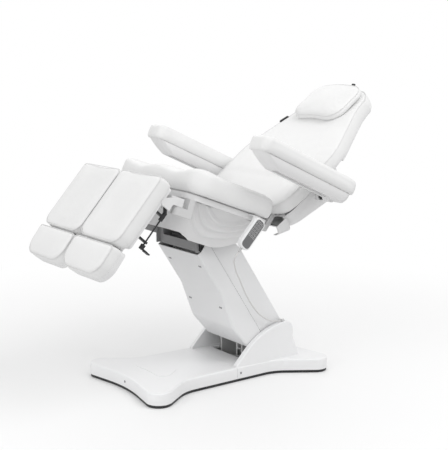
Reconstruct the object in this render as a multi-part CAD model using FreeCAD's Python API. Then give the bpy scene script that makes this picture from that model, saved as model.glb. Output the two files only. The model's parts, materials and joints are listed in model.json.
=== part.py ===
import FreeCAD, Part
import math
import os

# Podiatry chair. +Z up, the feet end towards -Y, the head end towards +Y,
# the sitter's left towards +X. The origin is the centre of the base on the floor.
# Lengths in millimetres, angles in degrees.

# Angles of the rest pose
column_rise = 57.0
seat_tilt = 20.5
back_rise = 36.0
leg_drop = 48.9
foot_drop = 52.6
arm_rise = 24.5
handset_rise = 47.0
upright = 90.0
full_turn = 360.0

# Shares of the soft forms
bulge_share = 0.4
seam_share = 0.6
crown_share = 0.7
back_middle = 1.0
nose_mid_angle = 117.0

# Shared clearances
overrun = 60.0
running_gap = 0.05
cover_gap = 0.6
soft_gap = 0.3
open_pivot_gap = 0.3
side_gap = 2.0
tiny_length = 0.001

# Base
base_half_length = 423.0
waist_front_reach = 191.0
waist_rear_reach = 223.0
foot_front_reach = 58.0
foot_rear_reach = 73.0
tongue_reach = 123.0
waist_front_y = waist_front_reach - base_half_length
waist_rear_y = base_half_length - waist_rear_reach
foot_front_y = foot_front_reach - base_half_length
foot_rear_y = base_half_length - foot_rear_reach
tongue_front_y = tongue_reach - base_half_length
base_corner_reach = 325.0
base_corner_depth = 19.0
base_corner_radius = 50.0
base_hollow_depth = 42.0
base_hollow_radius = 600.0
waist_front_half = 178.0
waist_rear_half = 168.0
waist_radius = 150.0
rim_bottom = 1.5
rim_width = 13.0
rim_inset = 2.0
cover_bottom = 12.0
cover_top = 58.0
cover_wall = 3.0
cover_edge_radius = 7.0
cover_seam_y = 16.0
seam_width = 1.0
plate_bottom = 4.0
foot_radius = 20.0
foot_stem_radius = 6.0
foot_x = 190.0
tongue_half_width = 132.0
tongue_tip_y = -110.0
tongue_tip_radius = 85.0
tongue_height = 1.2
tongue_sag = 12.0
tongue_hollow_radius = 420.0
tongue_corner_radius = 30.0
base_screw_radius = 4.5
base_screw_head = 1.5
base_screw_z = 34.0
base_screw_y = 33.0
base_screw_x = 170.0

# Hump over the column foot
hump_half_width = 168.0
hump_inner_half = 147.0
hump_wall = 4.0
hump_edge_radius = 6.0
hump_front_y = 11.0
hump_high_y = 144.0
hump_high_z = 196.0
hump_top_y = 299.0
hump_top_z = 210.0
hump_back_y = 301.0
hump_back_z = 135.0
hump_shoulder_radius = 310.0
hump_peak_radius = 36.0
hump_hollow_radius = 60.0
slot_front_y = 10.0
slot_top_y = 264.0
slot_back_y = 292.0
slot_back_z = 150.0
slot_toe_y = 322.0
slot_radius = 20.0
hump_toe_y = 350.0
liner_thickness = 2.0
liner_depth = 9.0
liner_margin = 12.0
liner_half_width = 130.0
liner_front_y = 104.0
liner_rear_y = 286.0
window_half_width = 134.0
window_front_y = 100.0
window_rear_y = 290.0

# Column and its two links
column_foot_y = 193.0
column_foot_z = 151.0
link_length = 445.0
link_offset = 32.0
column_half_width = 143.0
column_wall = 3.0
column_front = -86.0
column_rear = 86.0
column_seam = -21.0
shoulder_length = 12.0
shoulder_drop = 45.0
column_edge_radius = 8.0
seam_lap = 8.0
front_top = 497.0
front_shoulder = 510.0
front_bulge = -119.0
front_low = -103.0
bulge_top = 300.0
bulge_middle = 146.0
bulge_bottom = 34.0
bulge_radius = 75.0
flank_bottom = 31.0
rear_top = 388.0
rear_shoulder = 505.0
rear_bottom = 5.0
rear_corner = 60.0
rear_round = 40.0
bar_inner = 84.0
bar_outer = 108.0
bar_half_depth = 13.0
hub_radius = 24.0
tube_radius = 19.0
pin_radius = 12.0
ear_inner = 110.0
ear_outer = 120.0
pin_end = 124.0
cover_screw_x = 106.0
cover_screw_spread = 10.0
cover_screw_radius = 4.0
cover_screw_head = 1.2
upper_screw_row = 433.0
lower_screw_row = 233.0
standoff_half_height = 12.0
standoff_plate = 10.0
rear_post_low = 100.0
rear_post_high = 350.0
foot_plate_end = 118.0

# Lift drive in the base
crank_length = 98.0
crank_inner = 12.0
crank_outer = 22.0
crank_radius = 15.0
crank_pin_radius = 8.0
drive_radius = 17.0
drive_z = 35.0
drive_front_y = -330.0
drive_rear_y = 60.0
motor_x = 44.0
motor_radius = 19.0
motor_rear_y = -190.0
drive_head_length = 50.0
rod_radius = 9.0
rod_bury = 120.0
eye_half_width = 10.0
eye_wall = 6.0
lift_slot_rise = 24.0
slot_play = 3.0
saddle_half_width = 22.0
saddle_length = 20.0

# Column head
tilt_pivot_y = -20.0
tilt_pivot_z = 650.0
tilt_pin_radius = 8.0
tilt_plate_radius = 14.0
head_front_y = -143.0
head_plate = 4.0
flange_width = 13.0
flange_bottom = 531.0
flange_top = 640.0
front_plate_top = 566.0
head_shoulder_z = 600.0
head_corner_radius = 25.0
flange_inner = 138.0
tie_y = -98.0
tie_z = 557.0
tie_radius = 10.0
tilt_lever = 60.0
tilt_drive_x = -60.0
lug_radius = 11.0
lug_plate = 8.0

# Seat, in its own tilted frame: s runs towards the head end, n is normal to the seat
seat_y = -110.0
seat_z = 727.0
seat_half_width = 294.0
seat_front = -167.0
seat_rear = 235.0
seat_corner = 74.0
seat_thickness = 70.0
seat_crown = 18.0
scoop_radius = 150.0
scoop_x = 120.0
scoop_depth = 13.0
scoop_length = 190.0
tray_depth = 24.0
tray_half_width = 270.0
tray_step = 5.0
tray_inset = 12.0
tray_corner = 62.0
tray_front = 160.0
tray_rear = 232.0
cushion_draw = 8.0
seat_shoulder = 60.0
rail_inner = 122.0
rail_outer = 146.0
rail_depth = 20.0
rail_front = -150.0
rail_rear = 190.0
tilt_boss_radius = 20.0
front_tube = 24.0
rear_tube_front = 165.0
rear_tube_half_width = 204.0
lug_inner = 192.0
lug_outer = 204.0
lug_half_depth = 10.0
hinge_lug_radius = 14.0
lug_setback = 23.0

# Bowl-shaped shell under the seat
bowl_top_half = 236.0
bowl_mid_half = 206.0
bowl_low_half = 170.0
bowl_top_front = -160.0
bowl_mid_front = -146.0
bowl_low_front = -112.0
bowl_top_rear = 214.0
bowl_mid_rear = 206.0
bowl_low_rear = 196.0
bowl_mid_depth = 100.0
bowl_low_depth = 180.0
bowl_corner = 70.0
bowl_wall = 4.0
bowl_lip_radius = 20.0
bowl_keel_radius = 150.0
bowl_keel_front = -62.0
notch_top = 70.0
bowl_lip_depth = 146.0
bowl_lip_s = -90.0
bowl_keel_s = -20.0
bowl_keel_depth = 177.0
bowl_belly_s = 90.0
bowl_belly_depth = 158.0
bowl_stern_s = 214.0
bowl_stern_depth = 88.0

# Tilt and back drives under the seat
small_drive_radius = 18.0
small_rod_radius = 8.0
small_motor_radius = 16.0
small_motor_length = 90.0
tilt_drive_rear = 25.0
back_drive_x = 70.0
back_drive_n = -66.0
back_drive_rear = 160.0
small_pin_radius = 7.0
small_eye_half = 5.0
small_eye_wall = 4.0
tilt_slot_rise = 5.0
back_slot_rise = 23.0
small_play = 3.0
hanger_setback = 20.0
hanger_depth = 18.0
lever_plate = 6.0
lever_radius = 9.0
hanger_half_width = 12.0

# Back, in a frame whose origin is its hinge: t runs up the back, n is its normal
back_hinge_y = 170.0
back_hinge_z = 662.0
hinge_pin_radius = 7.0
nose_radius = 45.5
back_under = -15.6
back_half_width = 288.0
back_low_half = 264.0
back_top_half = 150.0
back_shoulder = 60.0
seam_drop = 3.0
crown_run = 110.0
nose_lift = 3.0
back_head_half = 158.0
back_length = 712.0
back_taper_run = 392.0
back_taper_drop = 102.0
board_length = 360.0
pillow_reach = 104.0
grip_reach = 199.0
back_taper_start = back_length - back_taper_run
back_taper_end = back_length - back_taper_drop
board_start = back_length - board_length
pillow_t = back_length - pillow_reach
grip_t = back_length - grip_reach
back_low_corner = 110.0
back_taper_radius = 320.0
back_head_corner = 80.0
back_crown = 8.0
nose_start_t = -36.8
nose_start_n = 26.7
under_start = 21.5
notch_inner = 184.0
notch_outer = 212.0
notch_deep = 45.0
notch_low = 10.0
notch_mid = 20.0
notch_rise = 28.0
notch_tip = 5.0
notch_crest = 30.0
board_thickness = 6.0
board_inset = 6.0
back_rail_inner = 206.0
back_rail_outer = 230.0
back_rail_depth = 25.0
back_rail_front = 20.0
back_rail_length = 288.0
back_shell_half = 262.0
back_shell_front = -42.0
back_shell_rear = 348.0
back_shell_corner = 95.0
back_shell_depth = 30.4
back_keel_depth = 68.4
back_shell_fall = 0.19
back_keel_inset = 50.0
back_shell_wall = 4.0
shell_slope = 12.0
shell_mouth = 0.0
boss_end = 280.0

# Head pillow
pillow_half_width = 152.0
pillow_half_length = 108.0
pillow_height = 40.0
pillow_sweep = 18.0
pillow_draw = 9.0
pillow_crown = 14.0
pillow_shoulder = 34.0
pillow_bow_radius = 500.0
pillow_corner = 62.0
pillow_gap = 0.3
grip_x = 150.0
grip_half_length = 24.0
grip_radius = 6.0
grip_standoff = 12.0
grip_stem_radius = 4.0

# Armrests, in a frame whose origin is the pivot
arm_pivot_y = 340.0
arm_pivot_z = 722.0
arm_x = 354.0
arm_half_width = 56.0
arm_front = -440.0
arm_rear = 55.0
arm_corner = 30.0
arm_pad_under = 32.0
arm_pad_thickness = 54.0
arm_crown = 6.0
arm_draw = 4.0
arm_shoulder = 22.0
arm_shell_depth = 40.0
arm_shell_front = -425.0
arm_shell_rear = 43.0
arm_keel_front = -355.0
arm_keel_rear = 34.0
arm_shell_inset = 8.0
arm_groove_half = 18.0
arm_groove_depth = 22.0
arm_boss_radius = 16.0
arm_boss_length = 36.0
arm_pin_radius = 7.0
arm_lug_radius = 17.0
knob_radius = 13.0
knob_start = 281.0
knob_length = 14.0
knob_lobes = 6
knob_lobe_radius = 3.0

# Leg rests, in a frame whose origin is the leg hinge: y runs up the leg, z is its normal
leg_hinge_y = -329.0
leg_hinge_z = 757.0
leg_x = 144.0
leg_half_width = 141.5
leg_pad_top = 31.8
leg_pad_length = 291.0
leg_pad_under = 50.3
leg_pad_thickness = 61.0
leg_crown = 5.0
leg_draw = 6.0
leg_shoulder = 12.0
block_corner_radius = 5.0
leg_top_corner = 16.0
leg_foot_corner = 46.0
calf_radius = 420.0
calf_depth = 5.0
leg_tray_depth = 12.0
leg_tray_half = 126.0
leg_tray_top = 24.0
leg_tray_length = 262.0
leg_rail_size = 20.0
leg_rail_x = 54.0
leg_rail_length = 222.0
leg_rail_top = 14.0
leg_tray_corner = 14.0
leg_lug_reach = 30.0
leg_pin_radius = 6.0
leg_lug_radius = 13.0
leg_lug_thickness = 9.0
swing_x = 247.0
block_half_width = 15.0
block_front = -231.0
block_rear = -172.0
block_top = -32.0
block_bottom = -63.0
swing_s = -190.0
swing_pin_radius = 7.0
boss_radius = 15.0
boss_bottom = -93.0
block_gap = 1.0

# Leg lock and its release lever
lock_z = -4.0
lock_x = 252.0
lock_rod_radius = 3.0
lock_body_radius = 8.0
lock_body_top = -52.0
lock_body_length = 34.0
lock_rod_end = -190.0
lock_hanger_top = -66.0
lock_hanger_low = -176.0
lock_hanger_thickness = 8.0
lever_pivot_y = -202.0
lever_pin_radius = 3.0
lever_length = 30.0
lever_half_width = 9.0
lever_thickness = 5.0
lever_eye_radius = 7.0
lever_fork = 6.0

# Foot rests, carried on two rods that slide in the leg rails
foot_gap = 11.2
foot_half_width = 135.0
foot_depth = 117.0
foot_thickness = 61.0
foot_crown = 6.0
foot_rise = 2.6
foot_draw = 6.0
foot_shoulder = 12.0
foot_bridge_rise = -2.0
foot_corner = 62.0
foot_back_corner = 12.0
foot_tray_thickness = 6.0
foot_tray_lip = 14.0
foot_tray_spread = 3.0
foot_rod_radius = 8.0
foot_rod_length = 190.0
foot_bridge_y = -286.0
foot_bridge_thickness = 10.0

# Handset on its hook, cord and mains inlet
handset_x = 305.0
handset_thickness = 24.0
handset_y = -29.456
handset_z = 616.149
handset_half_length = 66.0
handset_half_width = 26.0
handset_corner = 20.0
handset_edge = 5.0
keypad_inset = 6.0
keypad_thickness = 1.2
hook_s = 128.0
hook_half_width = 16.0
hook_plate = 3.0
relief_length = 16.0
relief_core_radius = 3.75
relief_grooves = 3
relief_groove_width = 1.3
relief_radius = 5.0
cord_radius = 2.5
gland_radius = 6.0
inlet_half_width = 24.0
inlet_half_height = 14.0
inlet_depth = 22.0
inlet_z = 34.0
inlet_flange = 3.0
inlet_socket_half_width = 13.0
inlet_socket_half_height = 9.0
inlet_socket_depth = 16.0
hook_top = -6.0
hook_overlap = 20.0
gland_x = 157.0
gland_y = 246.0
gland_z = 210.0
gland_length = 12.0
rod_margin = 10.0
lever_notch = 27.0
notch_depth = 14.0
eye_neck = 26.0
tilt_rod_travel = 22.0
back_rod_travel = 64.0
lug_play = 2.0
cord_run_share = 0.45

# Hand-picked points of the cord between its two ends
cord_points = [(317.0, -100.384, 540.088), (307.0, -101.0, 519.0), (289.0, -84.0, 499.0),
               (266.0, -64.0, 481.0),
               (244.0, -44.0, 459.0), (225.0, -16.0, 430.0), (205.0, 11.0, 397.0), (186.0, 44.0, 352.0),
               (170.0, 84.0, 302.0), (158.0, 126.0, 258.0), (155.0, 166.0, 228.0), (157.0, 208.0, 210.0)]


def vec(x, y, z):
    return FreeCAD.Vector(x, y, z)


def on_plan(height):
    """Map outline values to x and y at one height."""
    return lambda u, v: vec(u, v, height)


def on_side(x):
    """Map outline values to y and z at one x."""
    return lambda u, v: vec(x, u, v)


def arc_marks(before, here, after, radius):
    """Start, middle and end of the tangent arc in one corner."""
    a = (before - here).normalize()
    b = (after - here).normalize()
    half = math.acos(max(-1.0, min(1.0, a.dot(b)))) / 2
    reach = radius / math.tan(half)
    middle = here + (a + b).normalize() * (radius / math.sin(half) - radius)
    return here + a * reach, middle, here + b * reach


def outline(corners, spot):
    """Closed wire through (u, v, radius) corners, with tangent arcs in the corners."""
    flat = [vec(u, v, 0) for u, v, r in corners]
    count = len(corners)
    marks = []
    for i in range(count):
        radius = corners[i][2]
        if radius > 0:
            marks.append(arc_marks(flat[i - 1], flat[i], flat[(i + 1) % count], radius))
        else:
            marks.append((flat[i], flat[i], flat[i]))
    edges = []
    for i in range(count):
        start, middle, end = marks[i]
        if corners[i][2] > 0:
            edges.append(Part.Arc(*[spot(p.x, p.y) for p in (start, middle, end)]).toShape())
        following = marks[(i + 1) % count][0]
        if end.distanceToPoint(following) > tiny_length:
            edges.append(Part.LineSegment(spot(end.x, end.y), spot(following.x, following.y)).toShape())
    return Part.Wire(edges)


def slab(corners, low, high):
    """Upright prism over a plan outline."""
    return Part.Face(outline(corners, on_plan(low))).extrude(vec(0, 0, high - low))


def side_slab(corners, left, right):
    """Prism along X over a side outline."""
    return Part.Face(outline(corners, on_side(left))).extrude(vec(right - left, 0, 0))


def box(x, y, z):
    """Box between two x, two y and two z values."""
    return Part.makeBox(x[1] - x[0], y[1] - y[0], z[1] - z[0], vec(x[0], y[0], z[0]))


def rod_x(y, z, radius, left, right):
    return Part.makeCylinder(radius, right - left, vec(left, y, z), vec(1, 0, 0))


def rod_y(x, z, radius, front, rear):
    return Part.makeCylinder(radius, rear - front, vec(x, front, z), vec(0, 1, 0))


def rod_z(x, y, radius, low, high):
    return Part.makeCylinder(radius, high - low, vec(x, y, low), vec(0, 0, 1))


def strap(start, end, radius, left, right):
    """Round-ended plate between two (y, z) points."""
    along = vec(end[0] - start[0], end[1] - start[1], 0).normalize()
    across = vec(-along.y, along.x, 0) * radius
    points = [vec(*start, 0) + across, vec(*start, 0) - across, vec(*end, 0) - across,
              vec(*end, 0) + across]
    middle = side_slab([(p.x, p.y, 0) for p in points], left, right)
    ends = [rod_x(*start, radius, left, right), rod_x(*end, radius, left, right)]
    return middle.multiFuse(ends).removeSplitter()


def rectangle(u0, u1, v0, v1, radius):
    return [(u0, v0, radius), (u1, v0, radius), (u1, v1, radius), (u0, v1, radius)]


def both_sides(half):
    """Close a half outline, given from the front centre line to the rear one, with its mirror image."""
    return half + [(-u, v, r) for u, v, r in reversed(half) if abs(u) > 0]


def turned(shape, angle, y, z):
    """Turn a piece about the X axis and carry its origin to (y, z)."""
    moved = shape.copy()
    moved.rotate(vec(0, 0, 0), vec(1, 0, 0), angle)
    moved.translate(vec(0, y, z))
    return moved


def spot_in(angle, y, z, u, v):
    """World (y, z) of a point given in a turned frame."""
    c, s = math.cos(math.radians(angle)), math.sin(math.radians(angle))
    return y + u * c - v * s, z + u * s + v * c


def spot_from(angle, y, z, point):
    """Turned-frame (u, v) of a world (y, z) point."""
    c, s = math.cos(math.radians(angle)), math.sin(math.radians(angle))
    dy, dz = point[0] - y, point[1] - z
    return dy * c + dz * s, -dy * s + dz * c


def mirrored(shape):
    return shape.mirror(vec(0, 0, 0), vec(1, 0, 0))


def pair(shape):
    return Part.Compound([shape, mirrored(shape)])


def fused(*shapes):
    return shapes[0].multiFuse(list(shapes[1:])).removeSplitter()


def in_column(shape):
    return turned(shape, upright - column_rise, column_foot_y, column_foot_z)


def in_seat(shape):
    return turned(shape, -seat_tilt, seat_y, seat_z)


def in_back(shape):
    return turned(shape, back_rise, back_hinge_y, back_hinge_z)


def in_arm(shape):
    return turned(shape, -arm_rise, arm_pivot_y, arm_pivot_z)


def in_leg(shape):
    return turned(shape, leg_drop, leg_hinge_y, leg_hinge_z)


def column_point(depth, height):
    return spot_in(upright - column_rise, column_foot_y, column_foot_z, depth, height)


def cushion(plan, bottom, thickness, crown, draw, shoulder):
    """Soft slab with drawn-in sides, a seam edge and a crowned top."""
    seam = bottom + thickness
    side = [(bottom, draw), (bottom + thickness * bulge_share, 0), (seam, draw * seam_share)]
    top = [(seam, draw * seam_share), (seam + crown * crown_share, draw + shoulder * bulge_share),
           (seam + crown, shoulder)]
    lofts = []
    for layers in (side, top):
        wires = [outline(plan(inset), on_plan(height)) for height, inset in layers]
        lofts.append(Part.makeLoft(wires, True, False))
    return lofts[0].fuse(lofts[1])


# Places worked out from the sizes

pin_bore = pin_radius + running_gap
front_foot = column_point(-link_offset, 0)
rear_foot = column_point(link_offset, 0)
front_head = column_point(-link_offset, link_length)
rear_head = column_point(link_offset, link_length)
tilt_s, tilt_n = spot_from(-seat_tilt, seat_y, seat_z, (tilt_pivot_y, tilt_pivot_z))
hinge_s, hinge_n = spot_from(-seat_tilt, seat_y, seat_z, (back_hinge_y, back_hinge_z))
leg_s, leg_n = spot_from(-seat_tilt, seat_y, seat_z, (leg_hinge_y, leg_hinge_z))
arm_t, arm_n = spot_from(back_rise, back_hinge_y, back_hinge_z, (arm_pivot_y, arm_pivot_z))
tilt_drive_n = tilt_n - tilt_lever
tilt_lug = spot_in(-seat_tilt, seat_y, seat_z, tilt_s, tilt_drive_n)
frame_bottom = -tray_depth - rail_depth
back_lever = hinge_n - back_drive_n
back_lever_angle = -upright - seat_tilt - back_rise - back_middle
back_pin_t = back_lever * math.cos(math.radians(back_lever_angle))
back_pin_n = back_lever * math.sin(math.radians(back_lever_angle))
back_pin_s = hinge_s - back_lever * math.sin(math.radians(back_middle))
foot_top = leg_pad_top - leg_pad_length - foot_gap
end_slope = math.atan((base_hollow_depth + base_corner_depth) / base_corner_reach)
end_wall = base_half_length - base_hollow_depth + base_hollow_radius * (1 / math.cos(end_slope) - 1)
foot_y, foot_z = spot_in(leg_drop, leg_hinge_y, leg_hinge_z, foot_top,
                         leg_pad_under + leg_pad_thickness + foot_rise)


def in_foot(shape):
    return turned(shape, foot_drop, foot_y, foot_z)


# Base

def base_plan(inset):
    end = base_half_length
    half = [(0, base_hollow_depth - end, base_hollow_radius),
            (base_corner_reach, -end - base_corner_depth, base_corner_radius),
            (waist_front_half, waist_front_y, waist_radius),
            (waist_rear_half, waist_rear_y, waist_radius),
            (base_corner_reach, end + base_corner_depth, base_corner_radius),
            (0, end - base_hollow_depth, base_hollow_radius)]
    wire = outline(both_sides(half), on_plan(0))
    return wire.makeOffset2D(-inset) if inset else wire


def base_slab(inset, low, high):
    face = Part.Face(base_plan(inset))
    face.translate(vec(0, 0, low))
    return face.extrude(vec(0, 0, high - low))


def round_top(shape, height, radius):
    """Fillet every edge that lies at one height."""
    edges = [e for e in shape.Edges if abs(e.BoundBox.ZMin - height) + abs(e.BoundBox.ZMax - height) < radius / 2]
    return shape.makeFillet(radius, edges)


def half_space(front, rear):
    reach = base_half_length + base_corner_reach
    return box((-reach, reach), (front, rear), (-overrun, base_half_length))


def base_ear():
    """Upright plate that carries both link pivots."""
    foot = [(front_foot[0] - hub_radius, cover_bottom, 0), (rear_foot[0] + hub_radius, cover_bottom, 0)]
    head = [(rear_foot[0] + hub_radius, rear_foot[1], 0), (front_foot[0] - hub_radius, front_foot[1], 0)]
    ear = fused(side_slab(foot + head, ear_inner, ear_outer),
                rod_x(*front_foot, hub_radius, ear_inner, ear_outer),
                rod_x(*rear_foot, hub_radius, ear_inner, ear_outer))
    for place in (front_foot, rear_foot):
        ear = ear.cut(rod_x(*place, pin_bore, ear_inner - overrun, ear_outer + overrun))
    return ear


def base_frame():
    """Steel ground plate with the ears for the links and the saddle of the lift drive."""
    plate = base_slab(rim_inset + rim_width, plate_bottom, cover_bottom)
    for x, y in foot_places():
        plate = plate.cut(rod_z(x, y, foot_stem_radius + running_gap, -overrun, overrun))
    saddle = box((-saddle_half_width, saddle_half_width),
                 (drive_front_y - saddle_length, drive_front_y), (cover_bottom, drive_z + drive_radius))
    ear = base_ear()
    return fused(plate, ear, mirrored(ear), saddle)


def foot_places():
    return [(x, y) for x in (-foot_x, foot_x) for y in (foot_front_y, foot_rear_y)]


def levelling_feet():
    feet = []
    for x, y in foot_places():
        pad = rod_z(x, y, foot_radius, 0, plate_bottom)
        pad = pad.makeChamfer(plate_bottom / 4,
                              [e for e in pad.Edges if e.BoundBox.ZMax < plate_bottom / 2])
        feet.append(fused(pad, rod_z(x, y, foot_stem_radius, 0, cover_bottom + plate_bottom)))
    return Part.Compound(feet)


def base_rim():
    """Black ring under the edge of the covers."""
    return base_slab(rim_inset, rim_bottom, cover_bottom).cut(
        base_slab(rim_inset + rim_width, -overrun, cover_bottom + overrun))


def cover_block():
    return round_top(base_slab(0, cover_bottom, cover_top), cover_top, cover_edge_radius)


def cover_room():
    return base_slab(cover_wall, -overrun, cover_top - cover_wall)


def tongue():
    """Raised panel on the front cover, a triangle with a long rounded tip."""
    half = [(0, tongue_front_y + tongue_sag, tongue_hollow_radius),
            (tongue_half_width, tongue_front_y, tongue_corner_radius),
            (0, tongue_tip_y, tongue_tip_radius)]
    return slab(both_sides(half), cover_top - cover_wall, cover_top + tongue_height)


def base_front_cover():
    cover = cover_block().cut(cover_room()).common(half_space(-base_half_length * 2,
                                                              cover_seam_y - seam_width / 2))
    return fused(cover, tongue())


def hump_profile(inset):
    """Side outline of the cheeks: an arched rise, a round peak and a hollow back down to the toe."""
    return [(hump_front_y - overrun, cover_bottom, 0),
            (hump_front_y - overrun, cover_top - inset, 0),
            (hump_front_y + inset, cover_top - inset, 0),
            (hump_high_y + inset, hump_high_z - inset, hump_shoulder_radius - inset),
            (hump_top_y - inset, hump_top_z - inset, hump_peak_radius - inset),
            (hump_back_y - inset, hump_back_z - inset, hump_hollow_radius),
            (hump_toe_y - inset, cover_bottom, 0)]


def slot_profile(inset):
    """Side outline of the slot that the column moves in, above the top of the base."""
    return [(slot_front_y - overrun, cover_top + inset, 0),
            (slot_front_y - overrun, hump_top_z + overrun, 0),
            (slot_top_y - inset, hump_top_z + overrun, 0),
            (slot_top_y - inset, hump_top_z, slot_radius),
            (slot_back_y - inset, slot_back_z, slot_radius),
            (slot_toe_y - inset, cover_top + inset, 0)]


def hump_block():
    block = side_slab(hump_profile(0), -hump_half_width, hump_half_width)
    block = block.common(half_space(hump_front_y, base_half_length))
    rims = [e for e in block.Edges if e.BoundBox.XLength < tiny_length and e.BoundBox.ZMax > cover_top + cover_wall]
    rims = [e for e in rims if e.BoundBox.YLength > tiny_length]
    return block.makeFillet(hump_edge_radius, rims)


def base_rear_cover():
    """Rear cover with the hump, whose cheeks stand on both sides of the column."""
    room = side_slab(hump_profile(hump_wall), hump_wall - hump_half_width, hump_half_width - hump_wall)
    lining = side_slab(slot_profile(-hump_wall), -hump_inner_half - hump_wall, hump_inner_half + hump_wall)
    slot = side_slab(slot_profile(0), -hump_inner_half, hump_inner_half)
    cover = cover_block().fuse(hump_block())
    window = box((-window_half_width, window_half_width), (window_front_y, window_rear_y),
                 (-overrun, cover_top + overrun))
    cover = cover.cut(cover_room()).cut(room.cut(lining)).cut(slot).cut(window)
    cover = cover.common(half_space(cover_seam_y + seam_width / 2, base_half_length * 2))
    cover = cover.cut(inlet_block(inlet_half_width, inlet_half_height, 0, base_half_length * 2))
    return cover.removeSplitter()


def slot_liner():
    """Black frame under the edge of the window that the links pass through."""
    top = cover_top - cover_wall
    plate = box((-hump_inner_half, hump_inner_half),
                (window_front_y - liner_margin, window_rear_y + liner_margin),
                (top - liner_thickness, top))
    skirt = box((-liner_half_width, liner_half_width), (liner_front_y, liner_rear_y),
                (top - liner_depth, top))
    half = liner_half_width - liner_thickness
    hole = box((-half, half), (liner_front_y + liner_thickness, liner_rear_y - liner_thickness),
               (-overrun, cover_top))
    return fused(plate, skirt).cut(hole)


def base_screws():
    """Button heads on the walls of the covers."""
    band = base_slab(-base_screw_head, cover_bottom, cover_top).cut(base_slab(0, cover_bottom, cover_top))
    side = rod_x(base_screw_y, base_screw_z, base_screw_radius, 0, base_half_length)
    edge = base_half_length - overrun
    front = rod_y(0, base_screw_z, base_screw_radius, -base_half_length, -edge)
    rear = rod_y(base_screw_x, base_screw_z, base_screw_radius, edge, base_half_length)
    return Part.Compound([pair(side.common(band)), front.common(band), pair(rear.common(band))])


def base_pins():
    """Four pins that carry both links in the ears."""
    pins = [rod_x(*place, pin_radius, bar_inner, pin_end) for place in (front_foot, rear_foot)]
    return Part.Compound([pair(pin) for pin in pins])


def inlet_block(half, high, front, rear):
    return box((-half, half), (front, rear), (inlet_z - high, inlet_z + high))


def mains_inlet():
    """Flanged appliance inlet in the rear wall."""
    wall = end_wall
    body = inlet_block(inlet_half_width, inlet_half_height, wall - inlet_depth, wall)
    brim = inlet_block(inlet_half_width + inlet_flange, inlet_half_height + inlet_flange, wall,
                       wall + inlet_flange)
    brim = brim.cut(base_slab(0, 0, cover_top))
    socket = inlet_block(inlet_socket_half_width, inlet_socket_half_height, wall - inlet_socket_depth,
                         wall + overrun)
    return fused(body, brim).cut(socket)


def cord_gland():
    """Grommet on the near cheek, where the handset cord goes in."""
    gland = rod_y(gland_x, gland_z, gland_radius, gland_y, gland_y + gland_length)
    return gland.cut(side_slab(hump_profile(0), -hump_half_width, hump_half_width))


# Column

def front_profile(inset, end):
    """Side outline of the front cover: flat above, a belly below, tucked in at the foot."""
    tuck = (front_low - front_bulge) / (bulge_middle - bulge_bottom)
    return [(column_front + inset, front_top + end, 0),
            (column_front + inset, bulge_top, bulge_radius),
            (front_bulge + inset, bulge_middle, bulge_radius),
            (front_low + inset + end * tuck, bulge_bottom - end, 0),
            (column_seam + end, flank_bottom - end, 0),
            (column_seam + end, front_shoulder + end, 0),
            (column_seam - shoulder_length, front_shoulder + end, 0),
            (column_seam - shoulder_drop, front_top + end, 0)]


def rear_profile(inset, end):
    """Side outline of the rear cover, rounded over the upper pivot."""
    return [(column_seam - seam_lap - end, rear_bottom - end, 0),
            (column_seam - seam_lap - end, rear_shoulder + end, 0),
            (rear_corner - inset, rear_shoulder + end, rear_round),
            (column_rear - inset, rear_top, 0),
            (column_rear - inset, rear_bottom - end, 0)]


def cover_inside():
    """Space inside both column covers, where posts may reach."""
    half = column_half_width - column_wall
    front = side_slab(front_profile(column_wall, overrun), -half, half)
    rear_half = half - cover_gap - column_wall
    rear = side_slab(rear_profile(column_wall, overrun), -rear_half, rear_half)
    return front, rear


def column_front_cover():
    """Moulded front cover: a channel open towards the rear link."""
    half = column_half_width
    block = side_slab(front_profile(0, 0), -half, half)
    front_edges = [e for e in block.Edges if e.BoundBox.YMax < column_seam - shoulder_drop
                   and e.BoundBox.XLength < tiny_length]
    block = block.makeFillet(column_edge_radius, front_edges)
    return in_column(block.cut(cover_inside()[0]))


def column_rear_cover():
    """Moulded rear cover, which slides inside the flanks of the front one."""
    half = column_half_width - column_wall - cover_gap
    block = side_slab(rear_profile(0, 0), -half, half)
    rear_edges = [e for e in block.Edges if e.BoundBox.YMin > column_rear - tiny_length
                  and e.BoundBox.XLength < tiny_length]
    block = block.makeFillet(column_edge_radius / 2, rear_edges)
    return in_column(block.cut(cover_inside()[1]))


def arm_bars(depth):
    """Two bars with hubs, joined by a cross tube at each end and bored for their pins."""
    bar = fused(strap((depth, 0), (depth, link_length), bar_half_depth, bar_inner, bar_outer),
                rod_x(depth, 0, hub_radius, bar_inner, bar_outer),
                rod_x(depth, link_length, hub_radius, bar_inner, bar_outer))
    for height in (0, link_length):
        bar = bar.fuse(rod_x(depth, height, tube_radius, 0, bar_inner))
    return bar.removeSplitter()


def bored(bar, depth, radii):
    """Open the pin holes of one bar, then add its mirror image."""
    for height, radius in zip((0, link_length), radii):
        bar = bar.cut(rod_x(depth, height, radius, bar_inner, bar_outer + overrun))
    return bar.fuse(mirrored(bar)).removeSplitter()


def cover_post(row, towards, reach):
    """Post from a bar towards a cover, with a wider foot under the screws."""
    near, far = sorted((0, towards * overrun * 2))
    rows = (row - standoff_half_height, row + standoff_half_height)
    post = box((bar_inner, bar_outer), (near + towards * link_offset, far + towards * link_offset), rows)
    near, far = sorted((towards * reach, towards * overrun * 3))
    return post.fuse(box((bar_inner, foot_plate_end), (near, far), rows))


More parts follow.
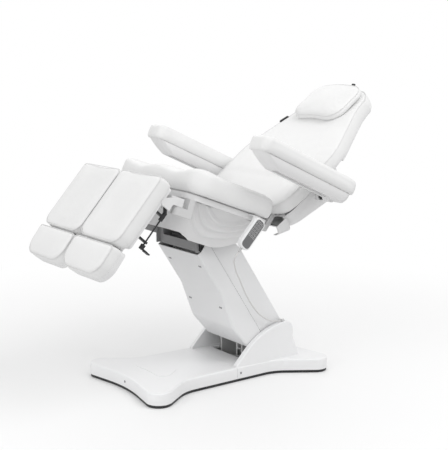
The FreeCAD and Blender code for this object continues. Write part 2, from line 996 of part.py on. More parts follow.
def front_arm():
    """Front link with the posts of its cover and the crank of the lift."""
    bar = arm_bars(-link_offset)
    for row in (upper_screw_row, lower_screw_row):
        bar = bar.fuse(cover_post(row, -1,
                                  -column_front - column_wall - standoff_plate).common(cover_inside()[0]))
    shape = in_column(bored(bar, -link_offset, (pin_bore, pin_bore)))
    end = (front_foot[0], front_foot[1] - crank_length)
    plate = strap(front_foot, end, crank_radius, crank_inner, crank_outer)
    return fused(shape, plate, mirrored(plate), rod_x(*end, crank_pin_radius, -crank_inner, crank_inner))


def rear_arm():
    """Rear link with the posts of its cover; its upper holes have play for the open pivot."""
    bar = arm_bars(link_offset)
    for row in (rear_post_low, rear_post_high):
        bar = bar.fuse(cover_post(row, 1,
                                  column_rear - column_wall - standoff_plate).common(cover_inside()[1]))
    return in_column(bored(bar, link_offset, (pin_bore, pin_radius + open_pivot_gap)))


def column_screws():
    """Pairs of button heads on the face of the front cover."""
    band_out = side_slab(front_profile(-cover_screw_head, 0), -column_half_width, column_half_width)
    band = band_out.cut(side_slab(front_profile(0, 0), -column_half_width, column_half_width))
    heads = []
    for row in (upper_screw_row, lower_screw_row):
        for shift in (-cover_screw_spread / 2, cover_screw_spread / 2):
            rod = rod_y(cover_screw_x + shift, row, cover_screw_radius, front_bulge - overrun, column_seam)
            heads.append(pair(rod.common(band)))
    return in_column(Part.Compound(heads))


# Lift drive

def lift_drive():
    """Tube and motor of the drive that lies in the base."""
    tube = rod_y(0, drive_z, drive_radius, drive_front_y, drive_rear_y).cut(
        rod_y(0, drive_z, rod_radius + running_gap, drive_rear_y - rod_bury, drive_rear_y + overrun))
    motor = rod_y(motor_x, drive_z, motor_radius, drive_front_y, motor_rear_y)
    gearbox = box((-drive_radius, motor_x), (drive_front_y, drive_front_y + drive_head_length),
                  (drive_z - drive_radius, drive_z + drive_radius))
    return fused(tube, motor, gearbox)


def lift_rod():
    """Rod that moves the crank, with a slotted eye that lets the crank pin rise."""
    pin_y, pin_z = front_foot[0], front_foot[1] - crank_length
    eye = slotted_eye(pin_y, pin_z, crank_pin_radius, eye_wall, slot_play, lift_slot_rise,
                      -eye_half_width, eye_half_width)
    end = pin_y - crank_pin_radius - slot_play
    return fused(rod_y(0, drive_z, rod_radius, drive_rear_y - rod_bury + rod_margin, end), eye).cut(
        eye_hole(pin_y, pin_z, crank_pin_radius, slot_play, lift_slot_rise, -eye_half_width,
                 eye_half_width))


# Column head

def head_side():
    """Side plate of the head, from both upper pivots to the tilt pivot."""
    corners = [(head_front_y + head_plate, flange_bottom, 0),
               (head_front_y + head_plate, head_shoulder_z, head_corner_radius),
               (tilt_pivot_y - tilt_plate_radius, tilt_pivot_z + tilt_plate_radius / 2, tilt_plate_radius),
               (rear_head[0] + hub_radius, tilt_pivot_z, tilt_plate_radius),
               (rear_head[0] + hub_radius, rear_head[1], 0),
               (front_head[0], front_head[1] - hub_radius / 2, 0)]
    plate = fused(side_slab(corners, ear_inner, ear_outer),
                  rod_x(*front_head, hub_radius, ear_inner, ear_outer),
                  rod_x(*rear_head, hub_radius, ear_inner, ear_outer),
                  rod_x(tilt_pivot_y, tilt_pivot_z, tilt_plate_radius, ear_inner, ear_outer))
    for y, z, radius in ((*front_head, pin_bore), (*rear_head, pin_bore),
                         (tilt_pivot_y, tilt_pivot_z, tilt_pin_radius + running_gap)):
        plate = plate.cut(rod_x(y, z, radius, ear_inner - overrun, ear_outer + overrun))
    return plate


def head_bracket():
    """Black head of the column: side plates, a front plate with flanges, a tie and the tilt lug."""
    side = head_side()
    wing = box((flange_inner, column_half_width), (head_front_y - flange_width, head_front_y + head_plate),
               (flange_bottom, flange_top))
    web = box((ear_inner, column_half_width), (head_front_y, head_front_y + head_plate),
              (flange_bottom, flange_top))
    front = box((-flange_inner, flange_inner), (head_front_y, head_front_y + head_plate),
                (flange_bottom, front_plate_top))
    tie = rod_x(tie_y, tie_z, tie_radius, -ear_inner, ear_inner)
    inner = small_eye_half + side_gap / 2
    lug = strap((tie_y, tie_z), tilt_lug, lug_radius, tilt_drive_x + inner,
                tilt_drive_x + inner + lug_plate)
    other = strap((tie_y, tie_z), tilt_lug, lug_radius, tilt_drive_x - inner - lug_plate,
                  tilt_drive_x - inner)
    pin = rod_x(*tilt_lug, small_pin_radius, tilt_drive_x - inner, tilt_drive_x + inner)
    return fused(side, mirrored(side), wing, mirrored(wing), web, mirrored(web), front, tie, lug, other,
                 pin)


def head_pins():
    """Pins of both links in the head."""
    pins = [rod_x(*place, pin_radius, bar_inner, pin_end) for place in (front_head, rear_head)]
    return Part.Compound([pair(pin) for pin in pins])


# Seat

def seat_plan(half, front, rear, corner):
    """Rounded plan outline of one layer of the seat, as a function of its inset."""
    def plan(inset):
        return [(inset - half, front + inset, corner - inset),
                (half - inset, front + inset, corner - inset),
                (half - inset, rear - inset, corner - inset), (inset - half, rear - inset, corner - inset)]
    return plan


def seat_frame():
    """Welded frame under the seat with the tilt bosses, the leg bosses and the back lugs."""
    top = -tray_depth
    rail = box((rail_inner, rail_outer), (rail_front, rail_rear), (frame_bottom, top))
    boss = rod_x(tilt_s, tilt_n, tilt_boss_radius, rail_inner, rail_outer)
    boss = boss.common(box((0, rail_outer), (rail_front, rail_rear), (-overrun * 2, top)))
    rail = fused(rail, boss).cut(
        rod_x(tilt_s, tilt_n, tilt_pin_radius + running_gap, rail_inner - overrun, rail_outer + overrun))
    outer = swing_x + boss_radius
    post = box((outer - front_tube, outer), (rail_front, rail_front + front_tube), (boss_bottom, top))
    arm = box((outer - front_tube, outer), (swing_s, rail_front), (boss_bottom, block_bottom - block_gap))
    knuckle = rod_z(swing_x, swing_s, boss_radius, boss_bottom, block_bottom - block_gap)
    arm = fused(arm, knuckle).cut(rod_z(swing_x, swing_s, swing_pin_radius + running_gap, -overrun * 3,
                                        overrun))
    lug = fused(strap((rear_tube_front + lug_half_depth, -tray_depth - lug_half_depth),
                      (hinge_s - lug_setback,
                       -tray_depth - lug_half_depth), lug_half_depth, lug_inner, lug_outer),
                strap((hinge_s - lug_setback, -tray_depth - lug_half_depth),
                      (hinge_s, hinge_n), lug_half_depth, lug_inner, lug_outer),
                rod_x(hinge_s, hinge_n, hinge_lug_radius, lug_inner, lug_outer))
    lug = lug.cut(rod_x(hinge_s, hinge_n, hinge_pin_radius + running_gap, lug_inner - overrun,
                        lug_outer + overrun))
    half = fused(rail, post, arm, lug)
    front = box((-outer, outer), (rail_front, rail_front + front_tube), (frame_bottom, top))
    rear = box((-rear_tube_half_width, rear_tube_half_width), (rear_tube_front, rail_rear),
               (frame_bottom, top))
    hangers = [hanger(tilt_drive_x, tilt_drive_n), hanger(back_drive_x, back_drive_n)]
    return in_seat(fused(half, mirrored(half), front, rear, *hangers))


def hanger(x, n):
    """Plate under the front tube that carries one drive."""
    front = rail_front + hanger_setback
    return box((x - hanger_half_width, x + hanger_half_width), (front, front + hanger_depth),
               (n - small_drive_radius, -tray_depth))


def seat_tray():
    """Board under the seat cushion, with a narrower step that leaves a shadow line."""
    plan = seat_plan(tray_half_width, -tray_front, tray_rear, tray_corner)
    notch = box(lever_way(), (tray_rear - lever_notch, tray_rear + overrun),
                (-tray_depth - overrun, -tray_depth + notch_depth))
    return in_seat(fused(slab(plan(0), -tray_depth, -tray_step),
                         slab(plan(tray_inset), -tray_step, 0)).cut(notch))


def lever_way():
    """Width that the back levers need, from side to side."""
    half = small_eye_half + side_gap / 2 + lever_plate + lug_play
    return (back_drive_x - half, back_drive_x + half)


def thigh_scoop(side):
    """Round cutter whose axis rises from the front edge, for one thigh."""
    top = seat_thickness + seat_crown
    start = vec(side * scoop_x, seat_front - overrun, 0)
    slope = scoop_depth / scoop_length
    start.z = top - scoop_depth + scoop_radius - overrun * slope
    return Part.makeCylinder(scoop_radius, scoop_length * 2 + overrun * 2, start, vec(0, 1, slope))


def seat_cushion():
    """Seat cushion with a crowned top and two thigh scoops at its front edge."""
    plan = seat_plan(seat_half_width, seat_front, seat_rear, seat_corner)
    shape = cushion(plan, 0, seat_thickness, seat_crown, cushion_draw, seat_shoulder)
    for side in (-1, 1):
        shape = shape.cut(thigh_scoop(side))
    return in_seat(shape)


def bowl_solid(inset):
    """Tapered body of the bowl between its rim and its keel."""
    end = overrun / 4 if inset else 0
    layers = [(bowl_top_half, bowl_top_front, bowl_top_rear, -tray_depth),
              (bowl_mid_half, bowl_mid_front, bowl_mid_rear, -bowl_mid_depth),
              (bowl_low_half, bowl_low_front, bowl_low_rear, -bowl_low_depth - end)]
    wires = [outline(seat_plan(half, front, rear, bowl_corner)(inset), on_plan(height))
             for half, front, rear, height in layers]
    return Part.makeLoft(wires, True, False)


def bowl_cutter():
    """Everything below the curved lower edge of the bowl."""
    far = seat_half_width
    return side_slab([(-far, -bowl_lip_depth, 0),
                      (bowl_lip_s, -bowl_lip_depth, bowl_lip_radius),
                      (bowl_keel_front, -bowl_keel_depth, bowl_lip_radius),
                      (bowl_keel_s, -bowl_keel_depth, bowl_keel_radius),
                      (bowl_belly_s, -bowl_belly_depth, bowl_keel_radius),
                      (bowl_stern_s, -bowl_stern_depth, 0),
                      (far, -tray_depth, 0),
                      (far, -far, 0), (-far, -far, 0)], -far, far)


def seat_shell():
    """Bowl under the seat: thin walls, an open bottom and a notch for the column and the back rod."""
    shell = bowl_solid(0).cut(bowl_solid(bowl_wall)).cut(bowl_cutter())
    outer = swing_x + boss_radius
    tube = box((-outer - overrun, outer + overrun),
               (rail_front - cover_gap, rail_front + front_tube + cover_gap),
               (frame_bottom - cover_gap, -tray_depth + overrun))
    notch = box((-column_half_width - side_gap * 3, column_half_width + side_gap * 3),
                (bowl_belly_s + overrun, bowl_top_rear + overrun), (-bowl_low_depth, -notch_top))
    rod_slot = box(lever_way(), (bowl_belly_s + overrun, bowl_top_rear + overrun),
                   (-bowl_low_depth, -tray_depth))
    shell = shell.cut(tube).cut(notch).cut(rod_slot)
    for left in (lug_inner - lug_play, -lug_outer - lug_play):
        shell = shell.cut(box((left, left + lug_outer - lug_inner + lug_play * 2),
                              (bowl_belly_s, bowl_top_rear + overrun), (frame_bottom - lug_play,
                                                                        -tray_depth)))
    return in_seat(shell)


def seat_pins():
    """Pins of the tilt pivot and of the back hinge."""
    tilt = rod_x(tilt_s, tilt_n, tilt_pin_radius, ear_inner, rail_outer + side_gap)
    back = rod_x(hinge_s, hinge_n, hinge_pin_radius, notch_inner, notch_outer)
    return in_seat(Part.Compound([pair(tilt), pair(back)]))


def small_drive(x, n, rear, motor_side):
    """Slim drive under the seat: a tube, a gearbox and a motor beside it."""
    front = rail_front + hanger_setback + hanger_depth
    tube = rod_y(x, n, small_drive_radius, front, rear).cut(
        rod_y(x, n, small_rod_radius + running_gap, front + small_motor_length, rear + overrun))
    beside = x + motor_side * (small_drive_radius + small_motor_radius)
    motor = rod_y(beside, n, small_motor_radius, front, front + small_motor_length)
    gearbox = box(tuple(sorted((x, beside))), (front, front + hanger_depth * 2),
                  (n - small_motor_radius, n + small_motor_radius))
    return in_seat(fused(tube, motor, gearbox))


def eye_hole(y, z, pin, play, rise, left, right):
    """Slot of an eye: it starts below the pin and reaches rise above it."""
    half = pin + play
    return side_slab(rectangle(y - half, y + half, z - half, z + half + rise, pin / 2),
                     left - overrun, right + overrun)


def slotted_eye(y, z, pin, wall, play, rise, left, right):
    """Plate round a pin, left solid for its slot to be cut."""
    outer = pin + play + wall
    return side_slab(rectangle(y - outer, y + outer, z - outer, z + outer + rise, wall), left, right)


def small_rod(x, n, pin_s, rise, travel):
    """Rod of a drive under the seat, with its slotted eye on a flat neck."""
    bore = rail_front + hanger_setback + hanger_depth + small_motor_length
    left, right = x - small_eye_half, x + small_eye_half
    eye = slotted_eye(pin_s, n, small_pin_radius, small_eye_wall, small_play, rise, left, right)
    hole = eye_hole(pin_s, n, small_pin_radius, small_play, rise, left, right)
    outer = small_pin_radius + small_play + small_eye_wall
    neck = box((left, right), (pin_s - outer - eye_neck, pin_s),
               (n - small_rod_radius, n + small_rod_radius))
    rod = rod_y(x, n, small_rod_radius, bore + travel + small_play, pin_s - outer - eye_neck + small_play)
    return in_seat(fused(rod, neck, eye).cut(hole))


# Back

def back_plan(inset):
    """Plan outline of the back: wide at the arms, narrow at the head."""
    low = nose_start_t - small_play * 3
    half = [(0, low + inset, 0),
            (back_low_half - inset, low + inset, back_low_corner - inset),
            (back_half_width - inset, back_taper_start, back_taper_radius),
            (back_head_half - inset, back_taper_end, back_taper_radius),
            (back_top_half - inset, back_length - inset, back_head_corner - inset)]
    return half + [(-u, v, r) for u, v, r in reversed(half[1:])]


def nose_cutter():
    """Everything the rounded lower end of the back leaves free, from the hinge side."""
    low_s = nose_start_t - overrun * 2
    top = vec(0, 0, nose_radius)
    start = vec(0, nose_start_t, nose_start_n)
    bend = vec(0, nose_radius * math.cos(math.radians(nose_mid_angle)),
               nose_radius * math.sin(math.radians(nose_mid_angle)))
    under = vec(0, under_start, back_under)
    lines = [Part.LineSegment(under, start).toShape(), Part.Arc(start, bend, top).toShape()]
    rise = vec(0, crown_run, nose_radius + back_crown + nose_lift)
    ring = [top, rise, vec(0, crown_run, back_length), vec(0, low_s, back_length),
            vec(0, low_s, back_under), under]
    for a, b in zip(ring, ring[1:]):
        lines.append(Part.LineSegment(a, b).toShape())
    wire = Part.Wire(lines)
    wire.translate(vec(-back_half_width - overrun, 0, 0))
    return Part.Face(wire).extrude(vec((back_half_width + overrun) * 2, 0, 0))


def lug_notch():
    """Room in the cushion for the seat lugs over the whole travel of the back."""
    deep = -overrun
    points = [(notch_deep, deep), (notch_deep, notch_low), (notch_mid, notch_rise),
              (-notch_tip, notch_crest),
              (-nose_radius, nose_radius + tiny_length), (-overrun * 2, nose_radius), (-overrun * 2, deep)]
    return side_slab([(u, v, 0) for u, v in points], notch_inner, notch_outer)


def back_cushion():
    """Back cushion with a rounded lower end and a crowned front."""
    thickness = nose_radius - seam_drop - back_under
    shape = cushion(back_plan, back_under, thickness, back_crown + seam_drop, cushion_draw, back_shoulder)
    notch = lug_notch()
    return in_back(shape.cut(nose_cutter()).cut(notch).cut(mirrored(notch)))


def back_board():
    """Plywood board behind the upper half of the back cushion."""
    plan = slab(back_plan(board_inset), back_under - board_thickness, back_under)
    reach = back_half_width + overrun
    return in_back(plan.common(box((-reach, reach), (board_start, back_length), (-overrun, overrun))))


def back_frame():
    """Welded frame behind the back, with the hinge ears, the arm bosses and the drive lever."""
    top = back_under
    rail = box((back_rail_inner, back_rail_outer), (back_rail_front, back_rail_length),
               (top - back_rail_depth, top))
    cross_low = box((0, back_rail_outer), (back_rail_front, back_rail_front + front_tube),
                    (top - back_rail_depth, top))
    cross_high = box((0, back_rail_outer), (back_rail_length - front_tube, back_rail_length),
                     (top - back_rail_depth, top))
    ears = []
    for left, right in ((notch_inner, lug_inner - side_gap), (lug_outer + side_gap, notch_outer)):
        ear = strap((0, 0), (back_rail_front + hinge_lug_radius, top - lug_half_depth), lug_half_depth,
                    left, right)
        ears.append(fused(ear, rod_x(0, 0, hinge_lug_radius, left, right)).cut(
            rod_x(0, 0, hinge_pin_radius + running_gap, left - overrun, right + overrun)))
    boss = rod_x(arm_t, arm_n, arm_boss_radius, back_rail_inner, boss_end)
    web = box((back_rail_inner, back_rail_outer), (arm_t - arm_boss_radius, arm_t + arm_boss_radius),
              (arm_n, top))
    boss = fused(boss, web).cut(rod_x(arm_t, arm_n, arm_pin_radius, boss_end - arm_boss_length,
                                      boss_end + overrun))
    half = fused(rail, cross_low, cross_high, boss, *ears)
    return in_back(fused(half, mirrored(half), *back_levers()))


def back_levers():
    """Two plates from the lower cross tube to the pin of the back drive."""
    inner = small_eye_half + side_gap / 2
    root = (back_rail_front + front_tube / 2, back_under - back_rail_depth / 2)
    tip = (back_pin_t, back_pin_n)
    plates = [strap(root, tip, lever_radius, back_drive_x + inner, back_drive_x + inner + lever_plate),
              strap(root, tip, lever_radius, back_drive_x - inner - lever_plate, back_drive_x - inner)]
    return plates + [rod_x(*tip, small_pin_radius, back_drive_x - inner, back_drive_x + inner)]


def back_shell():
    """Moulded cover behind the lower back, open towards the cushion."""
    def layer(inset, depth, fall):
        half = back_shell_half - inset
        front, rear = back_shell_front + inset, back_shell_rear - inset
        corners = rectangle(-half, half, front, rear, back_shell_corner - inset / 2)
        return outline(corners, lambda u, v: vec(u, v, back_under - depth - fall * (v - back_shell_front)))
    wall = back_shell_wall
    block = Part.makeLoft([layer(0, 0, 0), layer(shell_slope, back_shell_depth, back_shell_fall),
                           layer(back_keel_inset, back_keel_depth, back_shell_fall)], True, False)
    room = Part.makeLoft([layer(wall, 0, 0), layer(shell_slope + wall, back_shell_depth, back_shell_fall),
                          layer(back_keel_inset + wall, back_keel_depth - wall, back_shell_fall)], True, False)
    shell = block.cut(room)
    reach = back_half_width + overrun
    mouth = box((-reach, reach), (-overrun * 2, shell_mouth), (-back_keel_depth * 2, back_under + overrun))
    arm_way = rod_x(arm_t, arm_n, arm_boss_radius + cover_gap, -reach, reach)
    return in_back(shell.cut(mouth).cut(arm_way))


def pillow_plan(inset):
    """Plan outline of the pillow: both long edges are bowed and its ends swept back."""
    long, wide = pillow_half_length - inset, pillow_half_width - inset
    low, high = pillow_t - long, pillow_t + long
    return [(0, low, pillow_bow_radius), (wide, low - pillow_sweep, pillow_corner - inset),
            (wide, high - pillow_sweep, pillow_corner - inset), (0, high, pillow_bow_radius),
            (-wide, high - pillow_sweep, pillow_corner - inset), (-wide, low - pillow_sweep,
                                                                  pillow_corner - inset)]


def head_pillow():
    """Loose head pillow that lies on the crown of the back."""
    bottom = nose_radius + back_crown + pillow_gap
    return in_back(cushion(pillow_plan, bottom, pillow_height - pillow_crown, pillow_crown, pillow_draw,
                           pillow_shoulder))


def side_grip():
    """Rail for the hand behind the far edge of the upper back."""
    x = -grip_x
    n = back_under - board_thickness - grip_standoff
    bar = rod_y(x, n, grip_radius, grip_t - grip_half_length, grip_t + grip_half_length)
    feet = [rod_z(x, grip_t + step, grip_stem_radius, n, back_under - board_thickness)
            for step in (-grip_half_length / 2, grip_half_length / 2)]
    return in_back(fused(bar, *feet))


# Armrests

def arm_layers(front, rear, half, corner):
    def plan(inset):
        return [(arm_x - half + inset, front + inset, corner - inset / 2),
                (arm_x + half - inset, front + inset, corner - inset / 2),
                (arm_x + half - inset, rear - inset, corner - inset / 2),
                (arm_x - half + inset, rear - inset, corner - inset / 2)]
    return plan


def arm_shell():
    """Boat-shaped tray under the arm pad, grooved below, with the pivot boss inside."""
    half = arm_half_width - arm_shell_inset
    rim = arm_layers(arm_shell_front, arm_shell_rear, half, arm_corner)
    keel = arm_layers(arm_keel_front, arm_keel_rear, half, arm_corner)
    belly = arm_layers((arm_shell_front + arm_keel_front) / 2, (arm_shell_rear + arm_keel_rear) / 2, half,
                       arm_corner)
    bottom = arm_pad_under - arm_shell_depth
    wires = [outline(keel(arm_shell_inset), on_plan(bottom)),
             outline(belly(0), on_plan(bottom + arm_shell_depth / 2)),
             outline(rim(0), on_plan(arm_pad_under))]
    shell = Part.makeLoft(wires, True, False)
    inner = arm_x - arm_half_width + arm_shell_inset
    boss = rod_x(0, 0, arm_lug_radius, inner, inner + arm_boss_length)
    groove = box((arm_x - arm_groove_half, arm_x + arm_groove_half),
                 (arm_keel_front + arm_lug_radius * 2, -arm_lug_radius * 2),
                 (arm_pad_under - arm_shell_depth - overrun,
                  arm_pad_under - arm_shell_depth + arm_groove_depth))
    bore = rod_x(0, 0, arm_pin_radius + running_gap, inner - overrun,
                 inner + arm_boss_length - arm_pin_radius)
    return fused(shell.cut(groove), boss).cut(bore)


def arm_pad():
    """Arm pad with drawn-in sides and a crowned top."""
    plan = arm_layers(arm_front, arm_rear, arm_half_width, arm_corner)
    return cushion(plan, arm_pad_under, arm_pad_thickness, arm_crown, arm_draw, arm_shoulder)


def arm_pins():
    """Pivot pins of both armrests, fixed in the bosses of the back frame."""
    start = boss_end - arm_boss_length
    end = arm_x - arm_half_width + arm_shell_inset + arm_boss_length - arm_pin_radius * 2
    return in_arm(pair(rod_x(0, 0, arm_pin_radius, start, end)))


def arm_knob():
    """Lobed clamp knob on the pivot pin."""
    knob = rod_x(0, 0, knob_radius, knob_start, knob_start + knob_length)
    for i in range(knob_lobes):
        angle = math.radians(full_turn / knob_lobes * i)
        knob = knob.cut(rod_x(knob_radius * math.cos(angle), knob_radius * math.sin(angle),
                              knob_lobe_radius,
                              knob_start - overrun, knob_start + knob_length + overrun))
    return knob.cut(rod_x(0, 0, arm_pin_radius + running_gap, knob_start - overrun, knob_start + overrun))


# Leg rests

def leg_bracket():
    """Block that swings on the seat frame and carries the leg hinge."""
    block = box((swing_x - block_half_width, swing_x + block_half_width), (block_front, block_rear),
                (block_bottom, block_top))
    corners = [e for e in block.Edges if e.BoundBox.ZLength > block_top - block_bottom - tiny_length]
    block = block.makeFillet(block_corner_radius, corners)
    swing = rod_z(swing_x, swing_s, swing_pin_radius, boss_bottom, block_bottom)
    reach = block_half_width + block_gap + leg_lug_thickness
    pin = rod_x(leg_s, leg_n, leg_pin_radius, swing_x - reach, swing_x + reach)
    return in_seat(fused(block, swing, pin))


def leg_frame():
    """Tray under the leg pad with two sleeves for the foot rods and the lugs of the hinge."""
    low = leg_pad_under - leg_tray_depth
    tray = slab(rectangle(leg_x - leg_tray_half, leg_x + leg_tray_half, leg_tray_top - leg_tray_length,
                          leg_tray_top,
                          leg_tray_corner), low, leg_pad_under)
    parts = [tray]
    for side in (-1, 1):
        x = leg_x + side * leg_rail_x
        half = leg_rail_size / 2
        parts.append(box((x - half, x + half), (leg_rail_top - leg_rail_length, leg_rail_top),
                         (low - leg_rail_size, low)))
    gap = block_half_width + block_gap
    for left in (swing_x - gap - leg_lug_thickness, swing_x + gap):
        right = left + leg_lug_thickness
        parts.append(strap((0, 0), (-leg_lug_reach, low - lock_rod_radius), leg_lug_radius, left, right))
        parts.append(box((left, right), (-leg_lug_reach - leg_lug_radius, -leg_lug_reach + leg_lug_radius),
                         (0, low)))
    frame = fused(*parts)
    for side in (-1, 1):
        frame = frame.cut(rod_y(leg_x + side * leg_rail_x, low - leg_rail_size / 2,
                                foot_rod_radius + running_gap,
                                leg_rail_top - leg_rail_length - overrun, leg_rail_top - leg_rail_size))
    return frame.cut(rod_x(0, 0, leg_pin_radius + running_gap, 0, swing_x + overrun))


def leg_pad():
    """Leg pad with rounded lower corners and a shallow trough for the calf."""
    def plan(inset):
        bottom = leg_pad_top - leg_pad_length
        return [(leg_x - leg_half_width + inset, bottom + inset, leg_foot_corner - inset),
                (leg_x + leg_half_width - inset, bottom + inset, leg_foot_corner - inset),
                (leg_x + leg_half_width - inset, leg_pad_top - inset, leg_top_corner - inset / 2),
                (leg_x - leg_half_width + inset, leg_pad_top - inset, leg_top_corner - inset / 2)]
    shape = cushion(plan, leg_pad_under, leg_pad_thickness - leg_crown, leg_crown, leg_draw, leg_shoulder)
    trough = rod_y(leg_x, leg_pad_under + leg_pad_thickness + calf_radius - calf_depth, calf_radius,
                   leg_pad_top - leg_pad_length - overrun, leg_pad_top + overrun)
    return shape.cut(trough)


def leg_lock():
    """Locking cylinder with its release rod, hung under the leg tray."""
    low = leg_pad_under - leg_tray_depth
    cylinder = rod_y(lock_x, lock_z, lock_body_radius, lock_body_top - lock_body_length, lock_body_top)
    rod = rod_y(lock_x, lock_z, lock_rod_radius, lock_rod_end, lock_body_top)
    hangers = [box((lock_x - lock_rod_radius * 2, lock_x + lock_rod_radius * 2),
                   (y - lock_hanger_thickness, y),
                   (lock_z - lock_rod_radius * 2, low)) for y in (lock_hanger_top, lock_hanger_low)]
    fork = box((lock_x - lever_fork, lock_x + lever_fork),
               (lever_pivot_y - lever_eye_radius, lock_rod_end + tiny_length),
               (lock_z - lever_eye_radius, lock_z + lever_eye_radius))
    slot = box((lock_x - lever_thickness / 2 - cover_gap, lock_x + lever_thickness / 2 + cover_gap),
               (lever_pivot_y - overrun, lever_pivot_y + lever_eye_radius + cover_gap),
               (lock_z - overrun, lock_z + overrun))
    pin = rod_x(lever_pivot_y, lock_z, lever_pin_radius, lock_x - lever_fork, lock_x + lever_fork)
    return fused(fused(cylinder, rod, *hangers, fork).cut(slot), pin)


def release_lever():
    """Small hand lever at the foot end of the release rod."""
    eye = rod_x(lever_pivot_y, lock_z, lever_eye_radius, lock_x - lever_thickness / 2,
                lock_x + lever_thickness / 2)
    front = lever_pivot_y - lever_eye_radius
    shank = box((lock_x - lever_thickness / 2, lock_x + lever_thickness / 2),
                (front, lever_pivot_y), (lock_z - lever_length, lock_z))
    paddle = box((lock_x - lever_half_width, lock_x + lever_half_width),
                 (front, front + lever_thickness),
                 (lock_z - lever_length - lever_half_width, lock_z - lever_length / 2))
    bore = rod_x(lever_pivot_y, lock_z, lever_pin_radius + running_gap, lock_x - overrun, lock_x + overrun)
    return fused(eye, shank, paddle).cut(bore)


# Foot rests

def foot_plan(inset):
    """Plan outline of a foot pad: a flat upper edge and a broad round lower one."""
    half = foot_half_width - inset
    return [(leg_x - half, -foot_depth + inset, foot_corner - inset),
            (leg_x + half, -foot_depth + inset, foot_corner - inset),
            (leg_x + half, -inset, foot_back_corner - inset / 2),
            (leg_x - half, -inset, foot_back_corner - inset / 2)]


def foot_pad():
    return cushion(foot_plan, -foot_thickness, foot_thickness - foot_crown, foot_crown, foot_draw,
                   foot_shoulder)


def foot_tray():
    """Tray round the foot pad, with the bridge and the two rods that slide in the leg rest."""
    bottom = -foot_thickness - foot_tray_thickness
    tray = in_foot(slab(foot_plan(-foot_tray_spread), bottom, -foot_thickness + foot_tray_lip))
    pocket = in_foot(slab(foot_plan(-soft_gap), -foot_thickness, overrun))
    return fused(tray, *foot_rods()).cut(pocket)


def foot_rods():
    """Cross bridge and sliding rods, in the frame of the leg."""
    low = leg_pad_under - leg_tray_depth - leg_rail_size / 2
    end = leg_rail_top - leg_rail_length
    parts = []
    for side in (-1, 1):
        parts.append(rod_y(leg_x + side * leg_rail_x, low, foot_rod_radius, foot_bridge_y,
                           end + foot_rod_length))
    reach = leg_rail_x + leg_rail_size
    parts.append(box((leg_x - reach, leg_x + reach), (foot_bridge_y - foot_bridge_thickness, foot_bridge_y),
                     (low - leg_rail_size / 2, leg_pad_under + foot_bridge_rise)))
    return [in_leg(part) for part in parts]


# Handset, hook and cord

def handset_frame(shape):
    return turned(shape, handset_rise, handset_y, handset_z)


def handset_plate(inset, left, right):
    """Slab of the handset: its long axis is y, its thickness is x."""
    half, wide = handset_half_length - inset, handset_half_width - inset
    return side_slab(rectangle(-half, half, -wide, wide, handset_corner - inset), left, right)


def handset_body():
    body = handset_plate(0, handset_x, handset_x + handset_thickness)
    rims = [e for e in body.Edges if e.BoundBox.XLength < tiny_length]
    body = body.makeFillet(handset_edge, rims)
    face = handset_x + handset_thickness
    pocket = handset_plate(keypad_inset, face - keypad_thickness, face + overrun)
    return handset_frame(body.cut(pocket))


def handset_keypad():
    face = handset_x + handset_thickness
    return handset_frame(handset_plate(keypad_inset, face - keypad_thickness, face))


def handset_hook():
    """Bracket from the seat board to the back of the handset."""
    low = spot_from(-seat_tilt, seat_y, seat_z, (handset_y, handset_z))[1] + hook_overlap
    plate = box((handset_x - hook_plate, handset_x), (hook_s - hook_half_width, hook_s + hook_half_width),
                (low, hook_top))
    reach = box((tray_half_width, handset_x), (hook_s - hook_half_width, hook_s + hook_half_width),
                (hook_top - hook_plate, hook_top))
    root = box((tray_half_width, tray_half_width + hook_plate),
               (hook_s - hook_half_width, hook_s + hook_half_width), (-tray_depth, hook_top))
    return in_seat(fused(plate, reach, root))


def handset_strain_relief():
    """Ribbed sleeve at the lower end of the handset."""
    end = -handset_half_length
    sleeve = rod_y(handset_x + handset_thickness / 2, 0, relief_radius, end - relief_length, end)
    middle = handset_x + handset_thickness / 2
    for step in range(relief_grooves):
        groove = end - relief_length * (step + 1) / (relief_grooves + 1)
        ring = rod_y(middle, 0, relief_radius, groove, groove + relief_groove_width)
        core = rod_y(middle, 0, relief_core_radius, groove - overrun, groove + overrun)
        sleeve = sleeve.cut(ring.cut(core))
    return handset_frame(sleeve)


def cord_route():
    """Hand-picked points of the handset cord, from the strain relief to the gland."""
    x = handset_x + handset_thickness / 2
    y, z = spot_in(handset_rise, handset_y, handset_z, -handset_half_length - relief_length, 0)
    points = [vec(x, y, z)] + [vec(*point) for point in cord_points] + [vec(gland_x, gland_y, gland_z)]
    return points


def handset_cord():
    """Tube of straight runs joined by tangent arcs."""
    points = cord_route()
    lengths = [(b - a).Length for a, b in zip(points, points[1:])]
    edges, mark, radii = [], points[0], []
    for i in range(1, len(points) - 1):
        here = points[i]
        a = (points[i - 1] - here).normalize()
        b = (points[i + 1] - here).normalize()
        half_turn = (math.pi - math.acos(a.dot(b))) / 2
        radius = cord_run_share * min(lengths[i - 1], lengths[i]) / math.tan(half_turn)
        radii.append(round(radius, 1))
        reach = radius * math.tan(half_turn)
        middle = here + (a + b).normalize() * (radius / math.cos(half_turn) - radius)
        edges.append(Part.LineSegment(mark, here + a * reach).toShape())
        edges.append(Part.Arc(here + a * reach, middle, here + b * reach).toShape())
        mark = here + b * reach
    edges.append(Part.LineSegment(mark, points[-1]).toShape())
    spine = Part.Wire(edges)
    circle = Part.Wire([Part.Circle(points[0], points[1] - points[0], cord_radius).toShape()])
    tube = spine.makePipeShell([circle], True, False)
    print("cord radii", radii, "runs", [round(n, 1) for n in lengths])
    print("cord length", round(spine.Length, 1), "volume", round(tube.Volume, 1),
          "section times length", round(math.pi * cord_radius ** 2 * spine.Length, 1))
    return tube


def export(name, shape):
    """Write one sub-part as parts/NAME.step."""
    shape.exportStep("parts/" + name + ".step")


